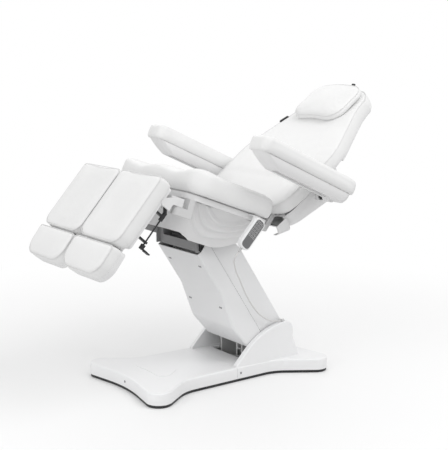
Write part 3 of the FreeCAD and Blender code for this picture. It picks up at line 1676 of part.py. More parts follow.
def main():
    os.makedirs("parts", exist_ok=True)
    for name, shape in (("base_frame", base_frame()), ("levelling_feet", levelling_feet()),
                        ("base_rim", base_rim()), ("base_front_cover", base_front_cover()),
                        ("base_rear_cover", base_rear_cover()),
                        ("slot_liner", slot_liner()), ("base_screws", base_screws()),
                        ("base_pins", base_pins()), ("mains_inlet", mains_inlet()), ("cord_gland",
                                                                                     cord_gland()),
                        ("front_arm", front_arm()), ("column_front_cover", column_front_cover()),
                        ("column_screws", column_screws()), ("rear_arm", rear_arm()),
                        ("column_rear_cover", column_rear_cover()), ("lift_drive", lift_drive()),
                        ("lift_rod", lift_rod()), ("head_bracket", head_bracket()), ("head_pins",
                                                                                     head_pins()),
                        ("seat_frame", seat_frame()), ("seat_tray", seat_tray()),
                        ("seat_cushion", seat_cushion()), ("seat_shell", seat_shell()),
                        ("seat_pins", seat_pins()),
                        ("tilt_drive", small_drive(tilt_drive_x, tilt_drive_n, tilt_drive_rear, 1)),
                        ("tilt_rod", small_rod(tilt_drive_x, tilt_drive_n, tilt_s, tilt_slot_rise,
                                               tilt_rod_travel)),
                        ("back_drive", small_drive(back_drive_x, back_drive_n, back_drive_rear, -1)),
                        ("back_rod", small_rod(back_drive_x, back_drive_n, back_pin_s, back_slot_rise,
                                               back_rod_travel)),
                        ("back_frame", back_frame()), ("back_board", back_board()),
                        ("back_cushion", back_cushion()), ("back_shell", back_shell()),
                        ("head_pillow", head_pillow()), ("side_grip", side_grip()), ("arm_pins",
                                                                                     arm_pins()),
                        ("handset_hook", handset_hook()), ("handset_body", handset_body()),
                        ("handset_keypad", handset_keypad()), ("handset_strain_relief",
                                                               handset_strain_relief()),
                        ("handset_cord", handset_cord())):
        export(name, shape)
    for name, shape in (("arm_shell", in_arm(arm_shell())), ("arm_pad", in_arm(arm_pad())),
                        ("arm_knob", in_arm(arm_knob())), ("leg_bracket", leg_bracket()),
                        ("leg_frame", in_leg(leg_frame())), ("leg_pad", in_leg(leg_pad())), ("leg_lock",
                                                                                             in_leg(leg_lock())),
                        ("release_lever", in_leg(release_lever())), ("foot_tray", foot_tray()),
                        ("foot_pad", in_foot(foot_pad()))):
        export(name + "_left", shape)
        export(name + "_right", mirrored(shape))


main()
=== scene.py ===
"""Podiatry chair: cushions, trims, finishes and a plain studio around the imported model.

The chair stands with its foot end towards -Y and its head end towards +Y, +Z up. Sizes inside the
functions are in millimetres in the frame of the piece, and tilted() brings them to metres in the
frame of the chair.
"""
import json
import math

import bmesh
import bpy
import numpy as np
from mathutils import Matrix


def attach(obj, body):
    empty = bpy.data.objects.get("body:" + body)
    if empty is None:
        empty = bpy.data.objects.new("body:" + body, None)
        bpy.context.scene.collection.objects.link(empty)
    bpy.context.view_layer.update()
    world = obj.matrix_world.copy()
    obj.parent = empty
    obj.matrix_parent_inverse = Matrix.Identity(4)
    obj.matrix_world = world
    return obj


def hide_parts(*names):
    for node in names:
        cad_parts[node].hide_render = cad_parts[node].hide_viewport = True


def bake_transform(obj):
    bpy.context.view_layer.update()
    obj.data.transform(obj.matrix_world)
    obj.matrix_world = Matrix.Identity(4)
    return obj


bl_info = {
    "name": "Podiatry chair",
    "version": (1, 0, 0),
    "blender": (4, 5, 0),
    "location": "View3D > Sidebar > Chair",
    "description": "Dresses the packed podiatry chair with its cushions, trims and finishes",
    "category": "Object",
}

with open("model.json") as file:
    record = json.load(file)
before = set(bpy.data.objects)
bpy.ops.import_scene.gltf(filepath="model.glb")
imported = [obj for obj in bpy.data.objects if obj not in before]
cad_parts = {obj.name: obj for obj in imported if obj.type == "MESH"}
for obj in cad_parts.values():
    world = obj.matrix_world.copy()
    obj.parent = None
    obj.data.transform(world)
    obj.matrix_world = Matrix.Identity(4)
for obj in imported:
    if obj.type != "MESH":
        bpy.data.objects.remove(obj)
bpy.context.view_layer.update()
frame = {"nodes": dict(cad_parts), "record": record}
nodes = frame["nodes"]

# Tilts of the pieces in degrees, and the places (y, z) that they turn about
SEAT = (-20.5, -110.0, 727.0)
BACK = (36.0, 170.0, 662.0)
ARM = (-24.5, 340.0, 722.0)
LEG = (48.9, -329.0, 757.0)
FOOT = (52.6, -592.586, 628.111)
HANDSET = (47.0, -29.456, 616.149)
COLUMN = (33.0, 193.0, 151.0)

# The sides by name and sign of X, and how far from the middle the face of the keypad is
SIDES = (("left", 1.0), ("right", -1.0))
HANDSET_FACE = 329.0


# Sizes and colours that a user would change

class ChairSizes(bpy.types.PropertyGroup):
    grain_scale: bpy.props.FloatProperty(
        name="Grain scale", description="Pebbles of the upholstery grain per metre",
        default=620.0, min=50.0, max=3000.0)
    grain_depth: bpy.props.FloatProperty(
        name="Grain depth", description="Depth of the upholstery grain",
        default=0.00016, min=0.0, max=0.002, precision=5, unit="LENGTH")
    piping_radius: bpy.props.FloatProperty(
        name="Piping radius", description="Radius of the piped seams of the cushions",
        default=0.0017, min=0.0005, max=0.005, precision=4, unit="LENGTH")
    pucker: bpy.props.FloatProperty(
        name="Pucker", description="Height of the small folds beside the seams",
        default=0.0005, min=0.0, max=0.003, precision=4, unit="LENGTH")
    ridge_height: bpy.props.FloatProperty(
        name="Ridge height", description="Height of the swept ridges on the shell under the seat",
        default=0.007, min=0.0, max=0.015, precision=4, unit="LENGTH")
    cord_radius: bpy.props.FloatProperty(
        name="Cord radius", description="Radius of the handset cord",
        default=0.0025, min=0.001, max=0.005, precision=4, unit="LENGTH")


class ChairColours(bpy.types.PropertyGroup):
    upholstery: bpy.props.FloatVectorProperty(
        name="Upholstery", description="Coated fabric of the cushions", subtype="COLOR",
        size=4, default=(0.80, 0.80, 0.798, 1.0), min=0.0, max=1.0)
    covers: bpy.props.FloatVectorProperty(
        name="Covers", description="Moulded covers of the base and the column", subtype="COLOR",
        size=4, default=(0.84, 0.842, 0.847, 1.0), min=0.0, max=1.0)
    shells: bpy.props.FloatVectorProperty(
        name="Shells", description="Moulded shells under the seat, the back and the arms",
        subtype="COLOR", size=4, default=(0.77, 0.768, 0.77, 1.0), min=0.0, max=1.0)
    steel: bpy.props.FloatVectorProperty(
        name="Painted steel", description="Light powder coat of brackets and rails",
        subtype="COLOR", size=4, default=(0.78, 0.78, 0.782, 1.0), min=0.0, max=1.0)
    dark: bpy.props.FloatVectorProperty(
        name="Dark parts", description="Rim, levers and strips", subtype="COLOR",
        size=4, default=(0.016, 0.016, 0.018, 1.0), min=0.0, max=1.0)
    keypad: bpy.props.FloatVectorProperty(
        name="Keypad", description="Membrane of the handset", subtype="COLOR",
        size=4, default=(0.16, 0.16, 0.165, 1.0), min=0.0, max=1.0)


def sizes():
    return bpy.context.scene.chair_sizes


def colours():
    return bpy.context.scene.chair_colours


# Shader groups

def add_node(tree, kind, **values):
    """New shader node; values go to its sockets by name, or to its own settings."""
    made = tree.nodes.new(kind)
    for key, value in values.items():
        socket = made.inputs.get(key.replace("_", " "))
        if socket is not None:
            socket.default_value = value
        else:
            setattr(made, key, value)
    return made


def new_group(name, inputs, outputs):
    """Empty shader group with float inputs (name, default) and float outputs."""
    group = bpy.data.node_groups.new(name, "ShaderNodeTree")
    group.interface.new_socket("Vector", in_out="INPUT", socket_type="NodeSocketVector")
    for label, default in inputs:
        socket = group.interface.new_socket(label, in_out="INPUT", socket_type="NodeSocketFloat")
        socket.default_value = default
    for label in outputs:
        group.interface.new_socket(label, in_out="OUTPUT", socket_type="NodeSocketFloat")
    return group, group.nodes.new("NodeGroupInput"), group.nodes.new("NodeGroupOutput")


def mapped(tree, source, start, stop, low, high, kind="LINEAR"):
    """Map Range of a value, from start to stop, to low to high."""
    made = add_node(tree, "ShaderNodeMapRange", interpolation_type=kind)
    for socket, value in zip(list(made.inputs)[1:5], (start, stop, low, high)):
        socket.default_value = value
    tree.links.new(source, made.inputs[0])
    return made.outputs[0]


def grain_group():
    """Upholstery grain: cells with soft rims, broken up by noise, and a slow change of tone."""
    group, start, end = new_group("Upholstery grain", (("Scale", 600.0),), ("Height", "Tone", "Fold"))
    link = group.links.new
    wide = add_node(group, "ShaderNodeTexNoise", Scale=9.0, Detail=3.0, Roughness=0.55)
    fold = add_node(group, "ShaderNodeTexNoise", Scale=26.0, Detail=4.0, Roughness=0.6, Distortion=0.6)
    warp = add_node(group, "ShaderNodeTexNoise", Scale=160.0, Detail=2.0)
    cells = add_node(group, "ShaderNodeTexVoronoi", feature="SMOOTH_F1", Smoothness=0.35)
    shift = add_node(group, "ShaderNodeMix", data_type="VECTOR", Factor=0.006)
    height = add_node(group, "ShaderNodeMath", operation="MULTIPLY_ADD")
    height.inputs[1].default_value = 0.35
    for socket in (wide.inputs["Vector"], fold.inputs["Vector"], warp.inputs["Vector"], shift.inputs[4]):
        link(start.outputs["Vector"], socket)
    link(warp.outputs["Color"], shift.inputs[5])
    link(shift.outputs[1], cells.inputs["Vector"])
    link(start.outputs["Scale"], cells.inputs["Scale"])
    link(warp.outputs["Fac"], height.inputs[0])
    link(cells.outputs["Distance"], height.inputs[2])
    link(height.outputs[0], end.inputs["Height"])
    link(wide.outputs["Fac"], end.inputs["Tone"])
    link(fold.outputs["Fac"], end.inputs["Fold"])
    return group


def mould_group():
    """Fine eroded texture of moulded plastic with a slow change of tone, and a darker tone within 5 cm of the
    floor, varied by the slow noise.
    """
    group, start, end = new_group("Mould texture", (("Scale", 900.0),), ("Height", "Tone", "Dust"))
    link = group.links.new
    fine = add_node(group, "ShaderNodeTexNoise", Detail=3.0, Roughness=0.7)
    slow = add_node(group, "ShaderNodeTexNoise", Scale=5.0, Detail=4.0, Roughness=0.6)
    parts = group.nodes.new("ShaderNodeSeparateXYZ")
    # darker towards the floor: full within the lowest few millimetres, gone at 5 cm, scaled by the slow noise
    low = mapped(group, parts.outputs["Z"], 0.0, 0.05, 1.0, 0.0, "SMOOTHSTEP")
    dust = add_node(group, "ShaderNodeMath", operation="MULTIPLY")
    link(start.outputs["Vector"], fine.inputs["Vector"])
    link(start.outputs["Scale"], fine.inputs["Scale"])
    link(start.outputs["Vector"], slow.inputs["Vector"])
    link(start.outputs["Vector"], parts.inputs[0])
    link(low, dust.inputs[0])
    link(slow.outputs["Fac"], dust.inputs[1])
    link(fine.outputs["Fac"], end.inputs["Height"])
    link(slow.outputs["Fac"], end.inputs["Tone"])
    link(dust.outputs[0], end.inputs["Dust"])
    return group


def brush_group():
    """Fine turned or ground lines, drawn out along X."""
    group, start, end = new_group("Ground lines", (("Scale", 700.0),), ("Height", "Tone"))
    link = group.links.new
    stretch = add_node(group, "ShaderNodeMapping")
    stretch.inputs["Scale"].default_value = (0.04, 1.0, 1.0)
    lines = add_node(group, "ShaderNodeTexNoise", Detail=4.0, Roughness=0.6)
    slow = add_node(group, "ShaderNodeTexNoise", Scale=18.0, Detail=2.0)
    link(start.outputs["Vector"], stretch.inputs["Vector"])
    link(stretch.outputs[0], lines.inputs["Vector"])
    link(start.outputs["Scale"], lines.inputs["Scale"])
    link(start.outputs["Vector"], slow.inputs["Vector"])
    link(lines.outputs["Fac"], end.inputs["Height"])
    link(slow.outputs["Fac"], end.inputs["Tone"])
    return group


def shader_group(name):
    """The named group, built the first time that it is asked for."""
    makers = {"Upholstery grain": grain_group, "Mould texture": mould_group, "Ground lines": brush_group}
    return bpy.data.node_groups.get(name) or makers[name]()


def between(tree, source, low, high):
    """Low to high over the part of a noise's range, 0.3 to 0.7, where most of its values lie."""
    return mapped(tree, source, 0.3, 0.7, low, high)


def tinted(tree, source, first, second):
    """Colour mix between two tones by a 0 to 1 value."""
    mix = add_node(tree, "ShaderNodeMix", data_type="RGBA")
    mix.inputs[6].default_value = tuple(first)
    mix.inputs[7].default_value = tuple(second)
    tree.links.new(source, mix.inputs[0])
    return mix.outputs[2]


def shaded(colour, factor):
    """Opaque colour, darker by a factor."""
    return tuple(c * factor for c in tuple(colour)[:3]) + (1.0,)


def finish(name, colour, group, scale, depth, rough, spread=0.04, tone=0.97, metal=0.0, coat=0.0,
           sheen=0.0, fold=0.0, dust=0.0):
    """Material on a Principled shader, with grain, tone and roughness from a shader group.

    Colour goes from tone x colour to colour, roughness from rough - spread to rough + spread."""
    made = bpy.data.materials.get(name)
    if made:
        return made
    made = bpy.data.materials.new(name)
    made.use_nodes = True
    tree = made.node_tree
    link = tree.links.new
    shader = tree.nodes["Principled BSDF"]
    place = tree.nodes.new("ShaderNodeTexCoord")
    detail = tree.nodes.new("ShaderNodeGroup")
    detail.node_tree = shader_group(group)
    detail.inputs["Scale"].default_value = scale
    link(place.outputs["Object"], detail.inputs["Vector"])
    ends = (shaded(colour, tone), tuple(colour))
    base = tinted(tree, between(tree, detail.outputs["Tone"], 0.0, 1.0), *ends)
    # darker towards the floor: the colour drops by this share near the floor
    if dust:
        grey = add_node(tree, "ShaderNodeMix", data_type="RGBA")
        grey.inputs[7].default_value = shaded(colour, 1.0 - dust)
        link(detail.outputs["Dust"], grey.inputs[0])
        link(base, grey.inputs[6])
        base = grey.outputs[2]
    link(base, shader.inputs["Base Color"])
    link(between(tree, detail.outputs["Tone"], rough - spread, rough + spread), shader.inputs["Roughness"])
    shader.inputs["Metallic"].default_value = metal
    shader.inputs["Coat Weight"].default_value = coat
    shader.inputs["Coat Roughness"].default_value = 0.25
    shader.inputs["Sheen Weight"].default_value = sheen
    bump = add_node(tree, "ShaderNodeBump", Strength=1.0, Distance=depth)
    link(detail.outputs["Height"], bump.inputs["Height"])
    if fold:
        slow = add_node(tree, "ShaderNodeBump", Strength=1.0, Distance=fold)
        link(detail.outputs["Fold"], slow.inputs["Height"])
        link(slow.outputs["Normal"], bump.inputs["Normal"])
    link(bump.outputs["Normal"], shader.inputs["Normal"])
    return made


# Finishes: name, colour or the user's colour that it follows, share of that colour, shader group,
# pattern scale, depth of the relief, roughness, and what else differs from a plain finish
PAINTS = {
    "upholstery": ("white coated upholstery", "upholstery", 1.0, "Upholstery grain", "grain_scale",
                   "grain_depth", 0.5, {"spread": 0.05, "tone": 0.965, "sheen": 0.06, "fold": 0.0007}),
    "piping": ("piping of the seams", "upholstery", 0.93, "Upholstery grain", 900.0, 0.0001, 0.45,
               {"tone": 0.94}),
    "cover": ("moulded cover", "covers", 1.0, "Mould texture", 1100.0, 0.00004, 0.42,
              {"tone": 0.975, "coat": 0.08, "dust": 0.10}),
    "column": ("moulded column cover", "covers", 0.97, "Mould texture", 1100.0, 0.00004, 0.44,
               {"tone": 0.975, "coat": 0.08}),
    "shell": ("moulded shell", "shells", 1.0, "Mould texture", 1000.0, 0.00005, 0.46,
              {"tone": 0.97, "coat": 0.05}),
    "light steel": ("light powder coat", "steel", 1.0, "Mould texture", 420.0, 0.00012, 0.4,
                    {"tone": 0.96, "coat": 0.1}),
    "frame steel": ("grey powder coat", "steel", 0.82, "Mould texture", 420.0, 0.00014, 0.45,
                    {"tone": 0.94}),
    "dark plastic": ("dark moulding", "dark", 1.0, "Mould texture", 800.0, 0.00008, 0.42, {"tone": 0.7}),
    "drive": ("drive housing", (0.07, 0.07, 0.075), 1.0, "Mould texture", 700.0, 0.00008, 0.5,
              {"tone": 0.85}),
    "ground steel": ("ground steel", (0.56, 0.56, 0.57), 1.0, "Ground lines", 900.0, 0.00003, 0.3,
                     {"tone": 0.85, "metal": 1.0}),
    "screw": ("screw heads", (0.34, 0.34, 0.35), 1.0, "Ground lines", 1600.0, 0.00003, 0.34,
              {"tone": 0.8, "metal": 1.0}),
    "rubber": ("black rubber", (0.02, 0.02, 0.02), 1.0, "Mould texture", 500.0, 0.0001, 0.75, {"tone": 0.8}),
    "pale rubber": ("pale rubber", (0.6, 0.6, 0.6), 1.0, "Mould texture", 700.0, 0.00006, 0.55,
                    {"tone": 0.93}),
    "cord": ("cord sheath", (0.66, 0.65, 0.64), 1.0, "Mould texture", 900.0, 0.00003, 0.42, {"tone": 0.95}),
    "handset": ("handset housing", "covers", 0.98, "Mould texture", 1400.0, 0.00003, 0.36,
                {"tone": 0.98, "coat": 0.12}),
    "keypad": ("keypad membrane", "keypad", 1.0, "Mould texture", 1300.0, 0.00004, 0.5, {"tone": 0.9}),
    "key print": ("key outlines", (0.6, 0.6, 0.6), 1.0, "Mould texture", 1300.0, 0.00002, 0.5,
                  {"tone": 0.93}),
    "board": ("painted board", "shells", 0.98, "Mould texture", 500.0, 0.00008, 0.5, {"tone": 0.95}),
    "head": ("mid grey powder coat", (0.30, 0.30, 0.303), 1.0, "Mould texture", 420.0, 0.00012, 0.42,
             {"tone": 0.9}),
    # painted shadow: a dark finish for the strips that stand for the shade inside the column's parting gap
    "parting_shadow": ("dark parting line", (0.05, 0.05, 0.052), 1.0, "Mould texture", 900.0, 0.00002, 0.7,
            {"tone": 0.9}),
}


def chosen(group, value):
    """The value itself, or the user's setting that it names."""
    return getattr(group, value) if isinstance(value, str) else value


def paint(key):
    """Material of one row of PAINTS."""
    name, colour, share, group, scale, depth, rough, more = PAINTS[key]
    tint = shaded(chosen(colours(), colour), share)
    return finish(name, tint, group, chosen(sizes(), scale), chosen(sizes(), depth), rough, **more)


# Surfaces

def tilted(points, place):
    """Points (across, along, normal) of a tilted piece in millimetres, in metres in the chair's frame.

    y = place_y + along cos(tilt) - normal sin(tilt), z = place_z + along sin(tilt) + normal cos(tilt)."""
    degrees, y, z = place
    turn = math.radians(degrees)
    out = np.empty(points.shape)
    out[..., 0] = points[..., 0]
    out[..., 1] = y + points[..., 1] * math.cos(turn) - points[..., 2] * math.sin(turn)
    out[..., 2] = z + points[..., 1] * math.sin(turn) + points[..., 2] * math.cos(turn)
    return out / 1000.0


def rounded_loop(corners, counts, arc=9):
    """Closed outline through corners (u, v, radius): arcs at the corners and even steps between them.

    An arc's centre lies on the corner's bisector, radius / sin(half angle) away from it. counts gives
    the steps of each side, so outlines with other insets match point by point."""
    spots = np.array([c[:2] for c in corners], float)
    radii = np.maximum([c[2] for c in corners], 0.5)
    before = np.roll(spots, 1, axis=0) - spots
    after = np.roll(spots, -1, axis=0) - spots
    before /= np.linalg.norm(before, axis=1, keepdims=True)
    after /= np.linalg.norm(after, axis=1, keepdims=True)
    half = np.arccos(np.clip((before * after).sum(1), -1, 1)) / 2
    reach = (radii / np.tan(half))[:, None]
    middle = before + after
    middle /= np.linalg.norm(middle, axis=1, keepdims=True)
    centre = spots + middle * (radii / np.sin(half))[:, None]
    start = spots + before * reach - centre
    stop = spots + after * reach - centre
    sweep = np.pi - 2 * half
    share = np.linspace(0, 1, arc)[None, :, None]
    angle = sweep[:, None, None]
    arcs = (np.sin((1 - share) * angle) * start[:, None, :]
            + np.sin(share * angle) * stop[:, None, :]) / np.sin(angle)
    arcs += centre[:, None, :]
    rows = []
    for i, steps in enumerate(counts):
        first, last = arcs[i][-1], arcs[(i + 1) % len(corners)][0]
        along = np.linspace(0, 1, steps + 1)[1:-1, None]
        rows += [arcs[i], first + (last - first) * along]
    return np.concatenate(rows)


def side_counts(corners, step):
    """Steps of each side of an outline, for points about step millimetres apart."""
    spots = np.array([c[:2] for c in corners], float)
    return np.maximum((np.linalg.norm(np.roll(spots, -1, axis=0) - spots, axis=1) / step).astype(int), 2)


def add_object(name, data):
    """Object for a mesh, curve, lamp or camera, linked to the scene."""
    made = bpy.data.objects.new(name, data)
    bpy.context.scene.collection.objects.link(made)
    return made


def new_mesh(name, points, faces=()):
    """Mesh from an array of points and an array of four-sided faces."""
    mesh = bpy.data.meshes.new(name)
    mesh.from_pydata(np.reshape(points, (-1, 3)).tolist(), [], np.reshape(faces, (-1, 4)).tolist())
    return mesh


def sheet_faces(shape):
    """Faces of an open grid of points, as an array (rows - 1, columns - 1, 4)."""
    spots = np.arange(shape[0] * shape[1]).reshape(shape)
    return np.stack([spots[:-1, :-1], spots[:-1, 1:], spots[1:, 1:], spots[1:, :-1]], axis=-1)


def closed_mesh(name, grid, material, body, tube=False):
    """Object from a grid of rows of points: rows are closed round, and the end rows are drawn shut.

    A tube is closed along its rows as well."""
    rows, columns = grid.shape[:2]
    spots = np.arange(rows * columns).reshape(rows, columns)
    low = spots if tube else spots[:-1]
    high = np.roll(spots, -1, axis=0) if tube else spots[1:]
    faces = np.stack([low, np.roll(low, -1, axis=1), np.roll(high, -1, axis=1), high], axis=-1)
    return placed(name, new_mesh(name, grid, faces), material, body)


def placed(name, mesh, material, body, merge=0.00002):
    """Object for a mesh: doubles merged, normals outwards, smooth, and riding on its body if it has one."""
    work = bmesh.new()
    work.from_mesh(mesh)
    bmesh.ops.remove_doubles(work, verts=work.verts, dist=merge)
    bmesh.ops.dissolve_degenerate(work, edges=work.edges, dist=merge / 10)
    bmesh.ops.recalc_face_normals(work, faces=work.faces)
    work.to_mesh(mesh)
    work.free()
    mesh.polygons.foreach_set("use_smooth", np.ones(len(mesh.polygons), bool))
    mesh.materials.append(material)
    made = add_object(name, mesh)
    if body:
        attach(made, body)
    return made


def softened(made):
    """One level of subdivision surface on a finished piece."""
    smooth = made.modifiers.new("smooth", "SUBSURF")
    smooth.levels = smooth.render_levels = 1
    return made


def uneven(along, waves):
    """Sum of sines of a length, each (wavelength, phase), scaled to about one."""
    total = np.zeros(along.shape)
    for length, phase in waves:
        total += np.sin(2 * np.pi * along / length + phase)
    return total / len(waves)


def medial(loop):
    """Nearest points on the middle line of an outline, which the top and the underside are drawn to."""
    low, high = loop.min(0), loop.max(0)
    middle, half = (low + high) / 2, (high - low) / 2
    slack = np.maximum(half - half.min(), 0.0) * 0.96
    return middle + np.clip(loop - middle, -slack, slack)


def cushion_grid(plan, bottom, thickness, crown, draw, shoulder, dome=2.0, step=9.0, puff=2.2):
    """Closed cushion: underside, drawn-in side, seam, puffed shoulder and domed top.

    Each row is the outline at one inset. The side bulges to inset 0 at 0.4 of its height and comes
    in to 0.6 draw at the seam; the top rises as crown (1 - (1 - d / shoulder)^2.3) over the distance
    d from the seam, then as a shallow dome over the middle line."""
    seam = bottom + thickness
    seam_inset = draw * 0.6
    counts = side_counts(plan(0), step)
    base = rounded_loop(plan(0), counts)
    run = np.concatenate([[0.0], np.cumsum(np.linalg.norm(np.diff(base, axis=0), axis=1))])
    fold = uneven(run, ((37.0, 0.4), (53.0, 2.1), (23.0, 4.0), (91.0, 1.3))) * sizes().pucker * 1000
    rows = []

    def row(inset, height, share):
        loop = rounded_loop(plan(inset), counts)
        rows.append(np.column_stack([loop, np.full(len(loop), height) + fold * share]))

    under = rounded_loop(plan(draw + 14.0), counts)
    for share in (0.0, 0.35, 0.7, 1.0):
        loop = medial(under) + (under - medial(under)) * share
        rows.append(np.column_stack([loop, np.full(len(loop), bottom)]))
    row(draw + 5.0, bottom, 0.0)
    row(draw + 1.2, bottom + 0.3, 0.0)
    row(draw - 0.6, bottom + 2.0, 0.0)
    for share in np.linspace(0.1, 1.0, 9)[:-1]:
        rise = share / 0.4 if share < 0.4 else (share - 0.4) / 0.6
        inset = draw * (1 - rise) ** 1.8 if share < 0.4 else seam_inset * rise ** 2
        row(inset, bottom + thickness * share, share * 0.4)
    row(seam_inset + 0.2, seam - 2.2, 0.7)
    row(seam_inset + 1.4, seam - 0.4, 0.3)
    row(seam_inset + 2.2, seam + 0.1, 0.3)
    for d in np.array([0.02, 0.05, 0.1, 0.17, 0.26, 0.37, 0.5, 0.65, 0.82, 1.0]) * shoulder:
        lift = crown * (1 - (1 - d / shoulder) ** 2.3) + puff * (1 - math.exp(-d / 4.0)) * math.exp(-d / 30.0)
        row(seam_inset + 2.2 + d * (1 - (seam_inset + 2.2) / max(shoulder, 40.0)), seam + lift,
            math.exp(-d / 16.0))
    edge = rows[-1]
    centre = medial(edge[:, :2])
    for share in (0.86, 0.72, 0.58, 0.44, 0.3, 0.15, 0.0):
        rows.append(np.column_stack([centre + (edge[:, :2] - centre) * share,
                                     edge[:, 2] + dome * (1 - share ** 2)]))
    return np.array(rows)


def untilted(points, place):
    """Inverse of tilted(): (across, along, normal) in millimetres of points in metres."""
    degrees, y, z = place
    turn = math.radians(degrees)
    y, z = points[..., 1] * 1000.0 - y, points[..., 2] * 1000.0 - z
    return np.stack([points[..., 0] * 1000.0, y * math.cos(turn) + z * math.sin(turn),
                     z * math.cos(turn) - y * math.sin(turn)], axis=-1)


def vertex_array(mesh):
    """Places of a mesh's vertices, one row each."""
    spots = np.empty(len(mesh.vertices) * 3)
    mesh.vertices.foreach_get("co", spots)
    return spots.reshape(-1, 3)


def nearest(points, line):
    """Distance of each point to the nearest point of a line, in batches."""
    parts = np.array_split(points, max(len(points) // 2000, 1))
    return np.concatenate([np.sqrt(((part[:, None] - line[None]) ** 2).sum(2).min(1)) for part in parts])


# Steps in how firmly the cloth is held, and frames that it runs for
PIN_LEVELS = 20
CLOTH_FRAMES = 14


def stuffed(made, place, bottom, line, voxel, cap, calm):
    """Remeshes a cushion and blows it up as cloth, held at its underside and at its seam.

    The pins are full below bottom + 3 mm and within 4 mm of the seam line, and fade over the next
    12 mm. calm(along) adds pins where the cushion meets its neighbour. No point moves more than cap
    millimetres."""
    remesh = made.modifiers.new("remesh", "REMESH")
    remesh.mode = "VOXEL"
    remesh.voxel_size = voxel / 1000.0
    seen = made.evaluated_get(bpy.context.evaluated_depsgraph_get())
    old, mesh = made.data, bpy.data.meshes.new_from_object(seen)
    made.modifiers.clear()
    made.data = mesh
    bpy.data.meshes.remove(old)
    mesh.name = made.name
    mesh.polygons.foreach_set("use_smooth", np.ones(len(mesh.polygons), bool))
    start = vertex_array(mesh)
    local = untilted(start, place)
    held = np.clip((bottom + 15.0 - local[:, 2]) / 12.0, 0, 1)
    held = np.maximum(held, np.clip((16.0 - nearest(local, line)) / 12.0, 0, 1))
    if calm:
        held = np.maximum(held, np.clip(calm(local[:, 1]), 0, 1))
    group = made.vertex_groups.new(name="held")
    steps = np.round(held * PIN_LEVELS).astype(int)
    for level in range(1, PIN_LEVELS + 1):
        group.add(np.flatnonzero(steps == level).tolist(), level / PIN_LEVELS, "REPLACE")
    cloth = made.modifiers.new("cloth", "CLOTH")
    cloth.settings.vertex_group_mass = "held"
    cloth.settings.use_pressure = True
    cloth.settings.uniform_pressure_force = 4.0
    cloth.settings.effector_weights.gravity = 0.0
    cloth.settings.quality = 3
    cloth.settings.tension_stiffness = 20.0
    cloth.settings.bending_stiffness = 1.5
    cloth.collision_settings.use_collision = False
    for step in range(1, CLOTH_FRAMES + 1):
        bpy.context.scene.frame_set(step)
    seen = made.evaluated_get(bpy.context.evaluated_depsgraph_get())
    move = vertex_array(seen.data) - start
    far = np.linalg.norm(move, axis=1, keepdims=True) * 1000.0
    move *= np.minimum(1.0, cap / np.maximum(far, 1e-9))
    made.modifiers.clear()
    made.vertex_groups.clear()
    bpy.context.scene.frame_set(1)
    mesh.vertices.foreach_set("co", (start + move).ravel())
    mesh.update()
    return made


def seam_ring(plan, height, draw, step=9.0, out=0.4):
    """Line of a piped seam: the outline drawn in by 0.6 draw - out, at one height."""
    loop = rounded_loop(plan(draw * 0.6 - out), side_counts(plan(0), step))
    return np.column_stack([loop, np.full(len(loop), height)])


def ring_tube(line, radius, sides=8):
    """Tube round a closed line: circles square to its direction, one for each point."""
    ahead = np.roll(line, -1, axis=0) - np.roll(line, 1, axis=0)
    ahead /= np.linalg.norm(ahead, axis=1, keepdims=True)
    across = np.cross(ahead, np.array([0.0, 0.0, 1.0]))
    across /= np.linalg.norm(across, axis=1, keepdims=True)
    up = np.cross(across, ahead)
    angle = np.linspace(0, 2 * np.pi, sides, endpoint=False)[:, None, None]
    return line[None] + radius * (np.cos(angle) * across[None] + np.sin(angle) * up[None])


def add_cushion(name, grid, place, body, node, line, cap=5.0, voxel=8.0, calm=None):
    """Cushion object that stands for its soft CAD node, blown up between its seam and its underside."""
    made = closed_mesh(name, tilted(grid, place), paint("upholstery"), body)
    made = softened(stuffed(made, place, grid[..., 2].min(), line, voxel, cap, calm))
    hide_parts(node)
    return made


def add_piping(name, line, place, body):
    """Piped seam as a thin tube along a closed line."""
    tube = ring_tube(line, sizes().piping_radius * 1000)
    made = closed_mesh(name, tilted(tube.transpose(1, 0, 2), place), paint("piping"), body, tube=True)
    return made


def box_plan(centre, half, low, high, low_corner, high_corner):
    """Outline of a rounded rectangle as a function of its inset."""
    def plan(inset):
        left, right = centre - half + inset, centre + half - inset
        below, above = low_corner - inset * 0.9, high_corner - inset * 0.5
        return [(left, low + inset, below), (right, low + inset, below), (right, high - inset, above),
                (left, high - inset, above)]
    return plan


# Cushions

class ChairSeatCushion(bpy.types.Operator):
    """Seat cushion with two thigh scoops at its front"""
    bl_idname = "chair.seat_cushion"
    bl_label = "Seat cushion"

    def execute(self, context):
        plan = box_plan(centre=0.0, half=294.0, low=-167.0, high=235.0, low_corner=74.0, high_corner=74.0)
        grid = cushion_grid(plan, bottom=0.0, thickness=70.0, crown=15.0, draw=8.0, shoulder=60.0, dome=2.5)
        line = seam_ring(plan, height=70.0, draw=8.0)
        self.scoop(grid)
        self.scoop(line)
        add_cushion("seat_cushion_soft", grid, SEAT, "seat", "seat_cushion", line,
                    calm=lambda along: (along - 140.0) / 60.0)
        return {"FINISHED"}

    def scoop(self, points):
        """Lifts the front of the top, more at its corners, and lowers it in a bell about each thigh."""
        u, v, n = points[..., 0], points[..., 1], points[..., 2]
        fade = np.clip(1 - (v + 167.0) / 200.0, 0, 1) ** 1.4
        bell = np.exp(-((np.abs(u) - 120.0) / 62.0) ** 2)
        weight = np.clip((n - 30.0) / 40.0, 0, 1)
        corner = np.clip((np.abs(u) - 190.0) / 60.0, 0, 1)
        crest = np.clip(1 - (v + 167.0) / 150.0, 0, 1) * (9.0 + 7.0 * corner)
        points[..., 2] = n + (crest - 14.0 * fade * bell) * weight


